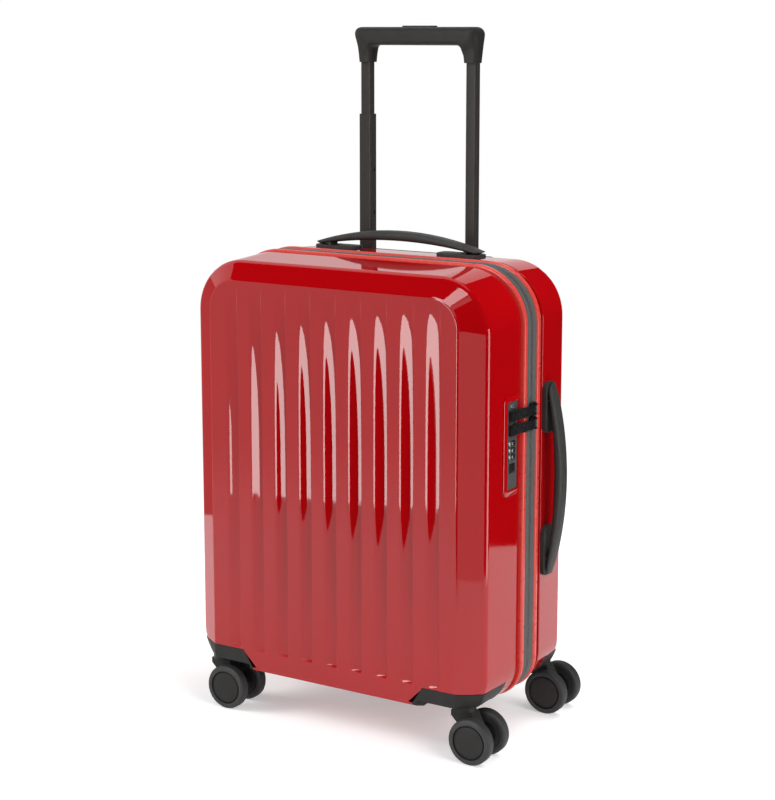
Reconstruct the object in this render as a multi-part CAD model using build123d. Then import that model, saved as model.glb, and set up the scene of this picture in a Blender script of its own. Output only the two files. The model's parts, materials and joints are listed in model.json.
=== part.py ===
"""Hard shell cabin suitcase on four twin-wheel casters, with a telescopic trolley handle.

X runs across the case, Y from the lid (negative) to the back (positive), Z up. The floor is z = 0
and the zip lies in the plane y = 0. All sizes are in millimetres.
"""
from build123d import *
import os

# Case halves
case_width = 390.0
case_height = 489.0
lid_depth = 110.0  # zip plane to the flat front panel
back_depth = 112.0  # zip plane to the flat back panel
wall = 2.5
corner_top = 64.0
corner_bottom = 42.0
bevel_side = 31.5  # width of the sloped band on the left and right of a panel
bevel_top = 24.0
bevel_bottom = 6.0
lid_bevel_depth = 18.0
back_bevel_depth = 28.0
panel_corner_top = 34.0
panel_corner_bottom = 12.0
crease_radius = 4.0
crease_follow = 0.65  # how far the inner crease lies back, as a share of the wall
panel_follow = 0.5  # how far the inner panel's outline lies in, as a share of the wall

# Flutes pressed into both panels
flute_count = 9
flute_width = 19.0
flute_depth = 4.2
flute_edge_margin = 29.9  # side of the panel to the first flute's middle
flute_top_margin = 5.0
flute_bottom_margin = 23.0
flute_fade = 150.0  # length over which a flute runs out at its top
flute_stop = 7.0  # length of the steep end at its bottom
flute_skin = 1.18  # wall behind a flute, measured along Y, as a share of the wall

# Zip, piping and the groove beside it, as distances from the zip plane
rim_edge = 10.0  # where the stiff rim ends and the zip tape begins
piping_width = 10.0
piping_stand = 4.0  # piping above the shell surface
piping_radius = 3.8
groove_width = 8.0
groove_depth = 3.0
tape_thickness = 3.0
tape_sink = 1.5  # tape below the shell surface
teeth_width = 3.0
teeth_stand = 1.0
zip_gap = 0.15  # half of the gap between the two rows of teeth

# Casters
wheel_diameter = 52.0
wheel_width = 13.0
wheel_spacing = 36.0
wheel_edge_radius = 2.5
tyre_thickness = 6.5
cap_margin = 4.0  # hub's rim to the ring groove in its cap
cap_groove_width = 0.8
cap_groove_depth = 0.6
caster_trail = 18.0
caster_inset_x = 30.5  # stem to the case's side
caster_inset_y = 20.0  # stem to the panel
axle_diameter = 6.0
axle_sink = 3.0  # axle's end below the cap
fork_width = 16.0
fork_boss_wall = 5.0
fork_root = 6.0  # height of the arm's back under the neck
fork_shoulder = 2.0  # height of the bends beside the boss
neck_diameter = 26.0
neck_gap = 1.5  # wheel top to the neck's underside
stem_diameter = 12.0
stem_length = 13.0
wheel_top_gap = 8.0  # wheel top to the housing's underside
underside_rise = 12.0  # how far a housing's underside lies above the shell's
housing_height = 28.0
housing_reach = 91.0
housing_slant = 18.0
housing_depth = 64.0
housing_lip = 9.0
housing_end_wall = 2.5
screw_diameter = 3.5
screw_length = 10.0
screw_head_diameter = 7.0
screw_head_height = 2.5
screw_inset_x = 8.0  # from the end of the housing's slant
screw_inset_y = 12.0  # from the housing's inner end
screw_pitch = 22.0

# Trolley
tube_spacing = 143.0
trolley_inset = 26.0  # tube middle to the back panel
inner_tube_width = 15.0
inner_tube_depth = 10.0
tube_wall = 1.25
tube_corner = 3.0
collar_stand = 4.0
collar_floor_drop = 16.0  # pocket that takes the grip's legs
collar_floor = 12.0
collar_side = 22.0
collar_half_depth = 17.0
collar_corner = 8.0
pocket_room = 1.0
foot_height = 20.0
foot_side = 16.0
foot_half_depth = 12.0
tube_end_room = 20.0  # inner tube's clearance above the foot
middle_tube_shorter = 80.0
grip_draw = 231.0  # grip legs above the collar's pocket as it stands
left_middle_draw = 170.0
lock_hole_diameter = 5.0
lock_hole_drops = (67.0, 118.0)  # below the middle tube's top
grip_overhang = 10.5  # end of the grip past the tube's middle
grip_height = 24.0
grip_depth = 24.0
grip_radius = 5.0
grip_leg = 17.0
grip_leg_wall = 3.5  # beside the inner tube
grip_leg_cheek = 5.0  # in front of the inner tube and behind it
grip_leg_taper = 2.0
grip_button_length = 41.0
grip_button_width = 12.0
grip_button_stand = 1.5
grip_button_travel = 4.0
grip_button_edge = 1.0
release_bar_drop = 8.0  # below the grip's top
release_bar = 5.0
rod_size = 4.0
tube_socket = 8.0

# Carry handles
handle_plane = 40.0  # distance behind the zip plane
handle_length = 226.0
handle_width = 20.0
handle_crest = 26.0
handle_thickness = 11.5
handle_tip_height = 8.0
handle_tip_slant = 8.0
handle_edge_radius = 1.2
mount_length = 58.0
mount_width = 24.0
mount_height = 5.0
mount_corner = 8.0
mount_inset = 30.0  # mount's middle from the handle's tip
mount_neck_wall = 2.0
mount_neck_reach = 5.0
tongue_width = 16.0
tongue_thickness = 4.0
tongue_inset = 21.0  # tongue's middle from the handle's tip
tongue_reach = 17.0
tongue_root = 2.5

# Lock and zip sliders, on the side away from the fold
lock_middle = 43.0  # distance in front of the zip plane
lock_width = 24.0
lock_height = 98.0
lock_back = 2.6  # wall behind the dials
lock_sink = 0.4
lock_rise = 54.0  # lock's middle above the case's
dial_count = 3
dial_figures = 10
dial_radius = 8.0
dial_thickness = 6.0
dial_pitch = 7.5
dial_rise = -5.5  # from the lock's middle
dial_stand = 0.9
dial_notch_radius = 0.8
dial_notch_offset = 0.4  # notch's middle outside the rim
spindle_diameter = 3.0
spindle_end = 3.0
button_width = 12.0
button_height = 10.0
button_rise = -25.5
button_stand = 0.9
button_travel = 3.0
button_length = 8.0
button_edge = 0.5
key_diameter = 7.0
key_rise = 44.0
key_stand = 0.5
key_slot_width = 1.2
key_slot_height = 5.0
key_slot_depth = 5.0
key_length = 12.0
tab_rises = (34.0, 18.0)
tab_width = 9.0
tab_thickness = 2.2
tab_overlap = 9.0  # tab's end past the lock's middle
tab_flat = 4.0  # flat stretch past the piping, before the tab steps down to the lock
tab_slope = 8.0
tab_barrel = 3.2
tab_pin_offset = 0.5  # pin behind the zip plane
tab_rest_depth = 2.0
tab_rest_half = 8.0
tab_rest_room = 1.5
slider_width = 13.0
slider_length = 15.0
slider_corner = 3.0
slider_plate = 3.0
slider_pin = 1.4
slider_pin_end = 0.5
slider_ear = 1.5
slider_ear_half = 2.0
slider_ear_root = 1.0

# Inside
lining_thickness = 1.2
lining_gap = 3.0
lining_room = 1.0
strap_width = 25.0
strap_thickness = 1.6
strap_depth = 16.0
buckle_length = 46.0
buckle_height = 38.0
buckle_thickness = 7.0
buckle_corner = 6.0

# Clearances
running = 0.3  # between pieces that move
bearing = 0.15  # shafts in their bores
telescope = 0.25  # tube in tube
seat = 0.3  # loosely laid pieces
past = 1.0  # how far a cutting body reaches past what it cuts
same_place = 0.01  # edges within this of a plane lie in it

# Derived places
LID = -1
BACK = 1
half_width = case_width / 2
groove_end = rim_edge + piping_width + groove_width
wheel_radius = wheel_diameter / 2
hub_radius = wheel_radius - tyre_thickness
housing_under = wheel_diameter + wheel_top_gap
shell_bottom = housing_under - underside_rise
shell_top = shell_bottom + case_height
middle_z = (shell_bottom + shell_top) / 2
stem_x = half_width - caster_inset_x
housing_top = shell_bottom + housing_height
trolley_y = back_depth - trolley_inset
tube_x = tube_spacing / 2
tube_step = 2 * (tube_wall + telescope)
inner_tube = (inner_tube_width, inner_tube_depth)
middle_tube = tuple(size + tube_step for size in inner_tube)
outer_tube = tuple(size + tube_step for size in middle_tube)
collar_top = shell_top + collar_stand
pocket_floor = collar_top - collar_floor_drop
collar_under = pocket_floor - collar_floor
foot_top = shell_bottom + wall + foot_height
outer_tube_length = collar_under - foot_top
middle_tube_length = outer_tube_length - middle_tube_shorter
inner_tube_length = outer_tube_length - tube_end_room
leg_bottom = pocket_floor + grip_draw
grip_under = leg_bottom + grip_leg
grip_top = grip_under + grip_height
grip_half = tube_x + grip_overhang
leg_half_x = inner_tube_width / 2 + grip_leg_wall
leg_half_y = inner_tube_depth / 2 + grip_leg_cheek
release_top = grip_top - release_bar_drop
handle_tip = handle_length / 2
mount_middle = handle_tip - mount_inset
tongue_middle = handle_tip - tongue_inset
lock_z = middle_z + lock_rise
lock_face = half_width - lock_sink
lock_depth = 2 * dial_radius - dial_stand + running + lock_back
dial_axis_x = lock_face + dial_stand - dial_radius
dial_rises = [dial_rise + dial_pitch * (i - (dial_count - 1) / 2) for i in range(dial_count)]
slider_top = half_width + teeth_stand + running + slider_plate
tab_x = slider_top + running + tab_barrel / 2


def block(x0, x1, y0, y1, z0, z1):
    """A box between two opposite corners."""
    middle = Pos((x0 + x1) / 2, (y0 + y1) / 2, (z0 + z1) / 2)
    return middle * Box(abs(x1 - x0), abs(y1 - y0), abs(z1 - z0))


def trolley_block(x, half_x, half_y, z0, z1):
    """A box about x in the trolley's plane."""
    return block(x - half_x, x + half_x, trolley_y - half_y, trolley_y + half_y, z0, z1)


def round_bar(axis, middle, radius, length):
    """A cylinder along X, Y or Z."""
    turn = {"X": Rot(0, 90, 0), "Y": Rot(90, 0, 0), "Z": Rot(0, 0, 0)}[axis]
    return Pos(*middle) * turn * Cylinder(radius, length)


def save(name, *solids):
    """Write one named piece, or one group of like pieces, to its file."""
    shape = solids[0] if len(solids) == 1 else Compound(children=list(solids))
    export_step(shape, f"parts/{name}.step")


def rounded_face(half, low, high, low_radius, high_radius, y):
    """An upright rounded rectangle across the case at depth y."""
    plate = Pos(0, (low + high) / 2) * Rectangle(2 * half, high - low)
    plate = fillet(plate.vertices().group_by(Axis.Y)[-1], high_radius)
    plate = fillet(plate.vertices().group_by(Axis.Y)[0], low_radius)
    return Plane(origin=(0, y, 0), x_dir=(1, 0, 0), z_dir=(0, -1, 0)) * plate


def outline(inset, y):
    """The case's outline at depth y, drawn in by inset all round."""
    return rounded_face(
        half_width - inset,
        shell_bottom + inset,
        shell_top - inset,
        corner_bottom - inset,
        corner_top - inset,
        y,
    )


def panel_outline(inset, y):
    """The flat panel's outline, inside the sloped bands."""
    return rounded_face(
        half_width - bevel_side - inset,
        shell_bottom + bevel_bottom + inset,
        shell_top - bevel_top - inset,
        panel_corner_bottom - inset,
        panel_corner_top - inset,
        y,
    )


def slab(side, inset, near, far):
    """The case's outline extruded between two distances from the zip plane."""
    return extrude(outline(inset, side * near), amount=-side * (far - near))


def ring(side, outer_inset, inner_inset, near, far):
    """A band round the case between two distances from the zip plane."""
    outer = slab(side, outer_inset, near, far)
    return outer - slab(side, inner_inset, near - past, far + past)


def depth_of(side):
    """Distance from the zip plane to a panel."""
    return lid_depth if side == LID else back_depth


def crease_of(side):
    """Distance from the zip plane to the edge between side wall and sloped band."""
    return depth_of(side) - (lid_bevel_depth if side == LID else back_bevel_depth)


def nose(side, body_inset, panel_inset, crease, panel):
    """The sloped bands and the panel: straight lines from outline to panel outline."""
    sections = [outline(body_inset, side * crease), panel_outline(panel_inset, side * panel)]
    return loft(sections, ruled=True)


def eased(body, y):
    """The body with its edges at depth y rounded."""
    edges = body.edges().filter_by_position(Axis.Y, y - same_place, y + same_place)
    return fillet(edges, crease_radius)


def shell_solid(side):
    """The full outer volume of one half, with its groove and its eased creases."""
    crease = crease_of(side)
    panel = depth_of(side)
    body = slab(side, 0, groove_end, crease) + nose(side, 0, 0, crease, panel)
    body = eased(body, side * crease)
    body = eased(body, side * panel)
    return body + slab(side, groove_depth, rim_edge, groove_end)


def cavity_solid(side):
    """The hollow inside one half, a wall inside the outer volume."""
    crease = crease_of(side) - crease_follow * wall
    panel = depth_of(side) - wall
    hollow = slab(side, wall, groove_end + wall, crease)
    hollow += nose(side, wall, panel_follow * wall, crease, panel)
    return hollow + slab(side, groove_depth + wall, rim_edge - past, groove_end + wall)


def flute_places():
    """The middles of the flutes across a panel."""
    reach = half_width - bevel_side - flute_edge_margin
    pitch = 2 * reach / (flute_count - 1)
    return [pitch * i - reach for i in range(flute_count)]


def flute(side, x, depth, grow):
    """A V-shaped trough at x that deepens over a short steep end and fades out at its top."""
    panel = depth_of(side)
    spread = flute_width / 2 / flute_depth
    bottom = shell_bottom + bevel_bottom + flute_bottom_margin - grow
    top = shell_top - bevel_top - flute_top_margin + grow
    tip = depth - flute_depth
    levels = [(bottom, tip), (bottom + flute_stop, depth), (top - flute_fade, depth), (top, tip)]
    sections = []
    for z, deep in levels:
        reach = (deep + past) * spread
        points = [
            (x - reach, side * (panel + past), z),
            (x + reach, side * (panel + past), z),
            (x, side * (panel - deep), z),
        ]
        sections.append(make_face(Polyline(*points, close=True)))
    return loft(sections, ruled=True)


def corner_block(side, hand):
    """The corner of the case that a caster housing takes the place of."""
    low = shell_bottom - past
    inner = half_width - housing_reach
    outer = half_width + past
    points = [
        (hand * inner, low),
        (hand * inner, housing_top - housing_slant),
        (hand * (inner + housing_slant), housing_top),
        (hand * outer, housing_top),
        (hand * outer, low),
    ]
    near = depth_of(side) - housing_depth
    face = make_face(Polyline(*[(x, side * near, z) for x, z in points], close=True))
    return extrude(face, amount=housing_depth + past, dir=(0, side, 0))


def stem_place(side, hand):
    """X and Y of a caster's stem."""
    return hand * stem_x, side * (depth_of(side) - caster_inset_y)


def screw_places(side, hand):
    """Two screws that hold a housing, beside its stem."""
    near = depth_of(side) - housing_depth + screw_inset_y
    inner = half_width - housing_reach + housing_slant + screw_inset_x
    return [(hand * inner, side * (near + screw_pitch)), (hand * (inner + screw_pitch), side * near)]


def caster_housing(side, hand, solid):
    """A moulded corner, raised underneath to clear the wheels, with a socket for the stem."""
    housing = solid & corner_block(side, hand)
    inner = half_width - housing_reach + housing_lip
    near = depth_of(side) - housing_depth + housing_end_wall
    rise = block(
        hand * inner,
        hand * (half_width + past),
        side * near,
        side * (depth_of(side) + past),
        shell_bottom - past,
        housing_under,
    )
    x, y = stem_place(side, hand)
    socket_length = stem_length + running
    socket_middle = (x, y, housing_under + socket_length / 2)
    housing = housing - rise - round_bar("Z", socket_middle, stem_diameter / 2 + bearing, socket_length)
    for sx, sy in screw_places(side, hand):
        housing -= round_bar("Z", (sx, sy, housing_top), screw_diameter / 2, 2 * screw_length)
    return housing


def housing_screw(x, y):
    """A pan-head screw standing on a housing's top."""
    shank = round_bar("Z", (x, y, housing_top - screw_length / 2), screw_diameter / 2, screw_length)
    head_middle = (x, y, housing_top + screw_head_height / 2)
    return shank + round_bar("Z", head_middle, screw_head_diameter / 2, screw_head_height)


def fork(side, hand):
    """Swivelling stem and neck with one arm between the two wheels."""
    x, y = stem_place(side, hand)
    neck_top = housing_under - running
    neck_bottom = wheel_diameter + neck_gap
    neck_radius = neck_diameter / 2
    stem = round_bar("Z", (x, y, neck_top + stem_length / 2), stem_diameter / 2, stem_length)
    neck_middle = (x, y, (neck_top + neck_bottom) / 2)
    neck = round_bar("Z", neck_middle, neck_radius, neck_top - neck_bottom)
    boss = axle_diameter / 2 + fork_boss_wall
    axle_x = x + caster_trail
    points = [
        (x - neck_radius, neck_bottom),
        (x - neck_radius, neck_bottom - fork_root),
        (axle_x - boss, wheel_radius - fork_shoulder),
        (axle_x - boss / 2, wheel_radius - boss),
        (axle_x + boss / 2, wheel_radius - boss),
        (axle_x + boss, wheel_radius + fork_shoulder),
        (x + neck_radius, neck_bottom),
    ]
    start = y - fork_width / 2
    face = make_face(Polyline(*[(px, start, pz) for px, pz in points], close=True))
    arm = extrude(face, amount=fork_width, dir=(0, 1, 0))
    bore_middle = (axle_x, y, wheel_radius)
    bore = round_bar("Y", bore_middle, axle_diameter / 2 + bearing, fork_width + 2 * past)
    return stem + neck + arm - bore


def wheel_set(side, hand):
    """One axle, two hubs with ringed caps and two tyres, turning together."""
    x, y = stem_place(side, hand)
    x += caster_trail
    axle_reach = (wheel_spacing + wheel_width) / 2 - axle_sink
    axle = round_bar("Y", (x, y, wheel_radius), axle_diameter / 2, 2 * axle_reach)
    groove_radius = hub_radius - cap_margin
    hubs = []
    tyres = []
    for way in (-1, 1):
        middle = (x, y + way * wheel_spacing / 2, wheel_radius)
        cap = (x, y + way * (wheel_spacing + wheel_width) / 2, wheel_radius)
        hub = round_bar("Y", middle, hub_radius, wheel_width)
        groove = round_bar("Y", cap, groove_radius, 2 * cap_groove_depth)
        groove -= round_bar("Y", cap, groove_radius - cap_groove_width, 2 * cap_groove_depth + past)
        hubs.append(hub - groove - axle)
        tyre = round_bar("Y", middle, wheel_radius, wheel_width)
        tyre = fillet(tyre.edges().filter_by(GeomType.CIRCLE), wheel_edge_radius)
        tyres.append(tyre - round_bar("Y", middle, hub_radius, wheel_width + 2 * past))
    return axle, hubs, tyres


def tube(size, x, bottom, length):
    """One upright trolley tube with rounded corners."""
    inside = (size[0] - 2 * tube_wall, size[1] - 2 * tube_wall)
    place = Pos(x, trolley_y, bottom)
    solid = extrude(place * RectangleRounded(*size, tube_corner), amount=length)
    start = Pos(x, trolley_y, bottom - past)
    bore = extrude(start * RectangleRounded(*inside, tube_corner - tube_wall), amount=length + 2 * past)
    return solid - bore


def tube_hole(size, x, bottom, top):
    """A clearance opening for a tube of this size."""
    grown = (size[0] + 2 * telescope, size[1] + 2 * telescope)
    face = Pos(x, trolley_y, bottom) * RectangleRounded(*grown, tube_corner + telescope)
    return extrude(face, amount=top - bottom)


def middle_tube_solid(hand, top):
    """A middle tube with its lock holes in the outer side."""
    x = hand * tube_x
    solid = tube(middle_tube, x, top - middle_tube_length, middle_tube_length)
    for drop in lock_hole_drops:
        middle = (x + middle_tube[0] / 2, trolley_y, top - drop)
        solid -= round_bar("X", middle, lock_hole_diameter / 2, 2 * tube_wall)
    return solid


def collar_blank():
    """The block of the trolley collar, set into the case's top edge."""
    blank = trolley_block(0, tube_x + collar_side, collar_half_depth, collar_under, collar_top)
    return fillet(blank.edges().filter_by(Axis.Z), collar_corner)


def collar():
    """A collar with one pocket for each leg of the grip and a hole for each tube."""
    solid = collar_blank()
    half_x = leg_half_x + pocket_room
    half_y = leg_half_y + pocket_room
    for x in (-tube_x, tube_x):
        solid -= trolley_block(x, half_x, half_y, pocket_floor, collar_top + past)
        solid -= tube_hole(middle_tube, x, collar_under - past, pocket_floor + past)
    return solid


def trolley_foot():
    """The block at the bottom of the case that the outer tubes stand on."""
    return trolley_block(0, tube_x + foot_side, foot_half_depth, shell_bottom, foot_top) & cavity_solid(BACK)


def grip():
    """The trolley's grip: a bar with two legs that take the inner tubes."""
    leg_inner = tube_x - leg_half_x
    leg_outer = tube_x + leg_half_x - grip_leg_taper
    points = [
        (-grip_half, grip_top),
        (grip_half, grip_top),
        (grip_half, grip_under),
        (leg_outer, leg_bottom),
        (leg_inner, leg_bottom),
        (leg_inner, grip_under),
        (-leg_inner, grip_under),
        (-leg_inner, leg_bottom),
        (-leg_outer, leg_bottom),
        (-grip_half, grip_under),
    ]
    start = trolley_y - leg_half_y
    face = make_face(Polyline(*[(x, start, z) for x, z in points], close=True))
    solid = extrude(face, amount=2 * leg_half_y, dir=(0, 1, 0))
    solid += trolley_block(0, grip_half, grip_depth / 2, grip_under, grip_top)
    solid = fillet(solid.faces().sort_by(Axis.Z)[-1].edges(), grip_radius)

    pocket_x = grip_button_length / 2 + running
    pocket_y = grip_button_width / 2 + running
    pocket_bottom = release_top - grip_button_travel - running
    solid -= trolley_block(0, pocket_x, pocket_y, pocket_bottom, grip_top + past)
    channel = rod_size / 2 + running
    channel_bottom = pocket_bottom - release_bar
    solid -= trolley_block(0, tube_x + channel, channel, channel_bottom, release_top + running)
    for x in (-tube_x, tube_x):
        socket = Pos(x, trolley_y, leg_bottom - past) * RectangleRounded(*inner_tube, tube_corner)
        solid -= extrude(socket, amount=tube_socket + past)
        solid -= trolley_block(x, channel, channel, leg_bottom, channel_bottom + past)
    return solid


def grip_button_solid():
    """The push button in the top of the grip."""
    high = grip_top + grip_button_stand
    solid = trolley_block(0, grip_button_length / 2, grip_button_width / 2, release_top, high)
    return fillet(solid.edges().group_by(Axis.Z)[-1], grip_button_edge)


def release_rods():
    """A cross bar under the button with one rod down each inner tube."""
    half = rod_size / 2
    under = release_top - release_bar
    bottom = leg_bottom + tube_socket - inner_tube_length + tube_end_room
    solid = trolley_block(0, tube_x + half, half, under, release_top)
    for x in (-tube_x, tube_x):
        solid += trolley_block(x, half, half, bottom, under)
    return solid


def handle_bar():
    """A carry handle over its wall: an arched bar with a tongue near each end. X is its length."""
    tip = handle_tip
    under_tip = tip - handle_tip_slant
    under = mount_height + running
    crest_under = handle_crest - handle_thickness
    top = ThreePointArc((-tip, 0, handle_tip_height), (0, 0, handle_crest), (tip, 0, handle_tip_height))
    bottom = ThreePointArc((under_tip, 0, under), (0, 0, crest_under), (-under_tip, 0, under))
    right = Line((tip, 0, handle_tip_height), (under_tip, 0, under))
    left = Line((-under_tip, 0, under), (-tip, 0, handle_tip_height))
    face = make_face(Curve() + [top, right, bottom, left])
    bar = extrude(face, amount=handle_width / 2, dir=(0, 1, 0), both=True)
    bar = fillet(bar.edges().filter_by(GeomType.CIRCLE), handle_edge_radius)
    half = tongue_width / 2
    half_y = tongue_thickness / 2
    for x in (-tongue_middle, tongue_middle):
        bar += block(x - half, x + half, -half_y, half_y, -tongue_reach, under + tongue_root)
    return bar


def tongue_slot(hand, grow, low, high):
    """The room that a handle's tongue runs in, grown all round, between two heights over the wall."""
    half = tongue_width / 2 + running + grow
    half_y = tongue_thickness / 2 + running + grow
    middle = hand * tongue_middle
    return block(middle - half, middle + half, -half_y, half_y, low, high)


def mount_neck(hand, low, high):
    """The part of a mount that goes through the wall."""
    return tongue_slot(hand, mount_neck_wall, low, high)


def handle_mount(hand):
    """A base plate with a slotted neck that passes through the wall."""
    x = hand * mount_middle
    half = mount_length / 2
    plate = block(x - half, x + half, -mount_width / 2, mount_width / 2, 0, mount_height)
    plate = fillet(plate.edges().filter_by(Axis.Z), mount_corner)
    plate += mount_neck(hand, -mount_neck_reach, 0)
    return plate - tongue_slot(hand, 0, -mount_neck_reach - past, mount_height + past)


def on_top(solid):
    """The solid set on the case's top wall."""
    return Pos(0, handle_plane, shell_top) * solid


def on_side(solid):
    """The solid set on the case's side wall, away from the fold."""
    return Pos(half_width, handle_plane, middle_z) * Rot(0, 90, 0) * solid


def lock_box(low, high, half_y, z0, z1):
    """A box on the lock: distances out of the lock's face, and heights from the lock's middle."""
    y = -lock_middle
    return block(lock_face + low, lock_face + high, y - half_y, y + half_y, lock_z + z0, lock_z + z1)


def lock_room(low, high, grow):
    """The room that the lock fills, between two distances out of its face."""
    half_z = lock_height / 2 + grow
    return lock_box(low, high, lock_width / 2 + grow, -half_z, half_z)


def lock_case():
    """The lock's body with windows for three dials, a button, a key cylinder and two tab rests."""
    case = lock_room(-lock_depth, 0, 0)
    window = dial_radius + running
    window_depth = window + dial_radius - dial_stand
    for rise in dial_rises:
        half = dial_thickness / 2 + running
        case -= lock_box(-window_depth, past, window, rise - half, rise + half)
    half_y = button_width / 2 + running
    half_z = button_height / 2 + running
    depth = button_length + button_travel - button_stand + running
    case -= lock_box(-depth, past, half_y, button_rise - half_z, button_rise + half_z)
    key_middle = (lock_face, -lock_middle, lock_z + key_rise)
    case -= round_bar("X", key_middle, key_diameter / 2 + bearing, 2 * key_length)
    rest_margin = tab_width / 2 + tab_rest_room
    case -= lock_box(
        -tab_rest_depth, past, tab_rest_half, min(tab_rises) - rest_margin, max(tab_rises) + rest_margin
    )
    return case - spindle(0)


def spindle(grow):
    """The rod that carries the dials, grown by a clearance."""
    length = dial_count * dial_pitch + 2 * spindle_end
    middle = (dial_axis_x, -lock_middle, lock_z + dial_rise)
    return round_bar("Z", middle, spindle_diameter / 2 + grow, length)


def dial(rise):
    """A number wheel with finger grooves round its rim."""
    z = lock_z + rise
    solid = round_bar("Z", (dial_axis_x, -lock_middle, z), dial_radius, dial_thickness)
    notch_x = dial_axis_x + dial_radius + dial_notch_offset
    notch = round_bar("Z", (notch_x, -lock_middle, z), dial_notch_radius, dial_thickness + 2 * past)
    about = Axis((dial_axis_x, -lock_middle, 0), (0, 0, 1))
    step = 360 / dial_figures
    for i in range(dial_figures):
        solid -= notch.rotate(about, step * (i + 0.5))
    return solid - spindle(bearing)


def lock_button():
    """The release button of the lock."""
    half_z = button_height / 2
    low = button_stand - button_length
    solid = lock_box(low, button_stand, button_width / 2, button_rise - half_z, button_rise + half_z)
    return fillet(solid.faces().sort_by(Axis.X)[-1].edges(), button_edge)


def key_cylinder():
    """The key barrel with its slot."""
    length = key_length - running + key_stand
    middle = (lock_face + key_stand - length / 2, -lock_middle, lock_z + key_rise)
    barrel = round_bar("X", middle, key_diameter / 2, length)
    half_z = key_slot_height / 2
    low = key_stand - key_slot_depth
    slot = lock_box(low, key_stand + past, key_slot_width / 2, key_rise - half_z, key_rise + half_z)
    return barrel - slot


def zip_slider(rise):
    """A slider on the zip's teeth with two ears and the pin of its pull tab."""
    z = lock_z + rise
    half_y = slider_width / 2
    half_z = slider_length / 2
    plate = block(slider_top - slider_plate, slider_top, -half_y, half_y, z - half_z, z + half_z)
    plate = fillet(plate.edges().filter_by(Axis.X), slider_corner)
    y = tab_pin_offset
    ear_near = tab_width / 2 + running
    ear_top = tab_x + tab_barrel / 2
    for way in (-1, 1):
        low = z + way * ear_near
        high = z + way * (ear_near + slider_ear)
        plate += block(
            slider_top - slider_ear_root, ear_top, y - slider_ear_half, y + slider_ear_half, low, high
        )
    return plate + round_bar("Z", (tab_x, y, z), slider_pin / 2, 2 * (ear_near + slider_pin_end))


def pull_tab(rise):
    """A flat tab on its barrel that lies over the piping and steps down to the lock."""
    z = lock_z + rise
    low = tab_x - tab_barrel / 2
    high = low + tab_thickness
    down = low - (half_width + dial_stand + 2 * running)
    step = -(rim_edge + piping_width + tab_flat)
    end = -(lock_middle + tab_overlap)
    points = [
        (low, tab_pin_offset),
        (high, tab_pin_offset),
        (high, step),
        (high - down, step - tab_slope),
        (high - down, end),
        (low - down, end),
        (low - down, step - tab_slope),
        (low, step),
    ]
    start = z - tab_width / 2
    face = make_face(Polyline(*[(px, py, start) for px, py in points], close=True))
    solid = extrude(face, amount=tab_width, dir=(0, 0, 1))
    solid += round_bar("Z", (tab_x, tab_pin_offset, z), tab_barrel / 2, tab_width)
    bore_radius = slider_pin / 2 + bearing
    return solid - round_bar("Z", (tab_x, tab_pin_offset, z), bore_radius, tab_width + 2 * past)


def piping(side):
    """The rounded welt that is sewn along the zip."""
    band = slab(side, -piping_stand, rim_edge, rim_edge + piping_width)
    rims = [edge for edge in band.edges() if edge.bounding_box().size.Y < same_place]
    band = fillet(rims, piping_radius)
    return band - slab(side, groove_depth, rim_edge - past, rim_edge + piping_width + past)


def zip_tape(side):
    """Half of the zip: a tape against the rim, and its row of teeth."""
    tape = ring(side, tape_sink, tape_sink + tape_thickness, zip_gap, rim_edge)
    return tape + ring(side, -teeth_stand, tape_sink, zip_gap, teeth_width)


def lining_floor(side):
    """Distance from the zip plane to the bottom of a lining, in front of what lies behind it."""
    if side == LID:
        return crease_of(side) - lining_gap
    return trolley_y - collar_half_depth - lining_gap


def lining(side):
    """The cloth lining of one half, as a thin tray a little inside the shell."""
    floor = lining_floor(side)
    outer_inset = groove_depth + wall + seat
    tray = slab(side, outer_inset, rim_edge + lining_room, floor)
    tray -= slab(side, outer_inset + lining_thickness, rim_edge, floor - lining_thickness)
    near = side * (depth_of(side) - housing_depth - lining_room)
    far = side * (floor + past)
    inner = half_width - housing_reach - lining_room
    high = housing_top + screw_head_height + lining_room
    for hand in (-1, 1):
        tray -= block(hand * inner, hand * half_width, near, far, shell_bottom, high)
    if side == LID:
        return tray - lock_room(-lock_depth - seat, 0, seat)
    for hand in (-1, 1):
        room = mount_neck(hand, -tongue_reach, 0)
        tray -= on_top(room) + on_side(room)
    return tray


def packing_straps():
    """Two elastic bands that meet at a buckle across the packed half."""
    end = half_width - groove_depth - wall - seat - lining_thickness
    near = strap_depth
    far = strap_depth + strap_thickness
    low = middle_z - strap_width / 2
    high = middle_z + strap_width / 2
    start = buckle_length / 2
    return [block(hand * start, hand * end, near, far, low, high) for hand in (-1, 1)]


def strap_buckle():
    """A side-release buckle between the straps."""
    middle = strap_depth + strap_thickness / 2
    solid = Pos(0, middle, middle_z) * Box(buckle_length, buckle_thickness, buckle_height)
    return fillet(solid.edges().filter_by(Axis.Y), buckle_corner)


def shell(side, solid):
    """One half of the case: its outer volume, hollowed, fluted and cut for its casters."""
    hollow = cavity_solid(side)
    for x in flute_places():
        hollow -= flute(side, x, flute_depth + flute_skin * wall, wall)
    half = solid - hollow
    for x in flute_places():
        half -= flute(side, x, flute_depth, 0)
    for hand in (-1, 1):
        half -= corner_block(side, hand)
    return half


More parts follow.
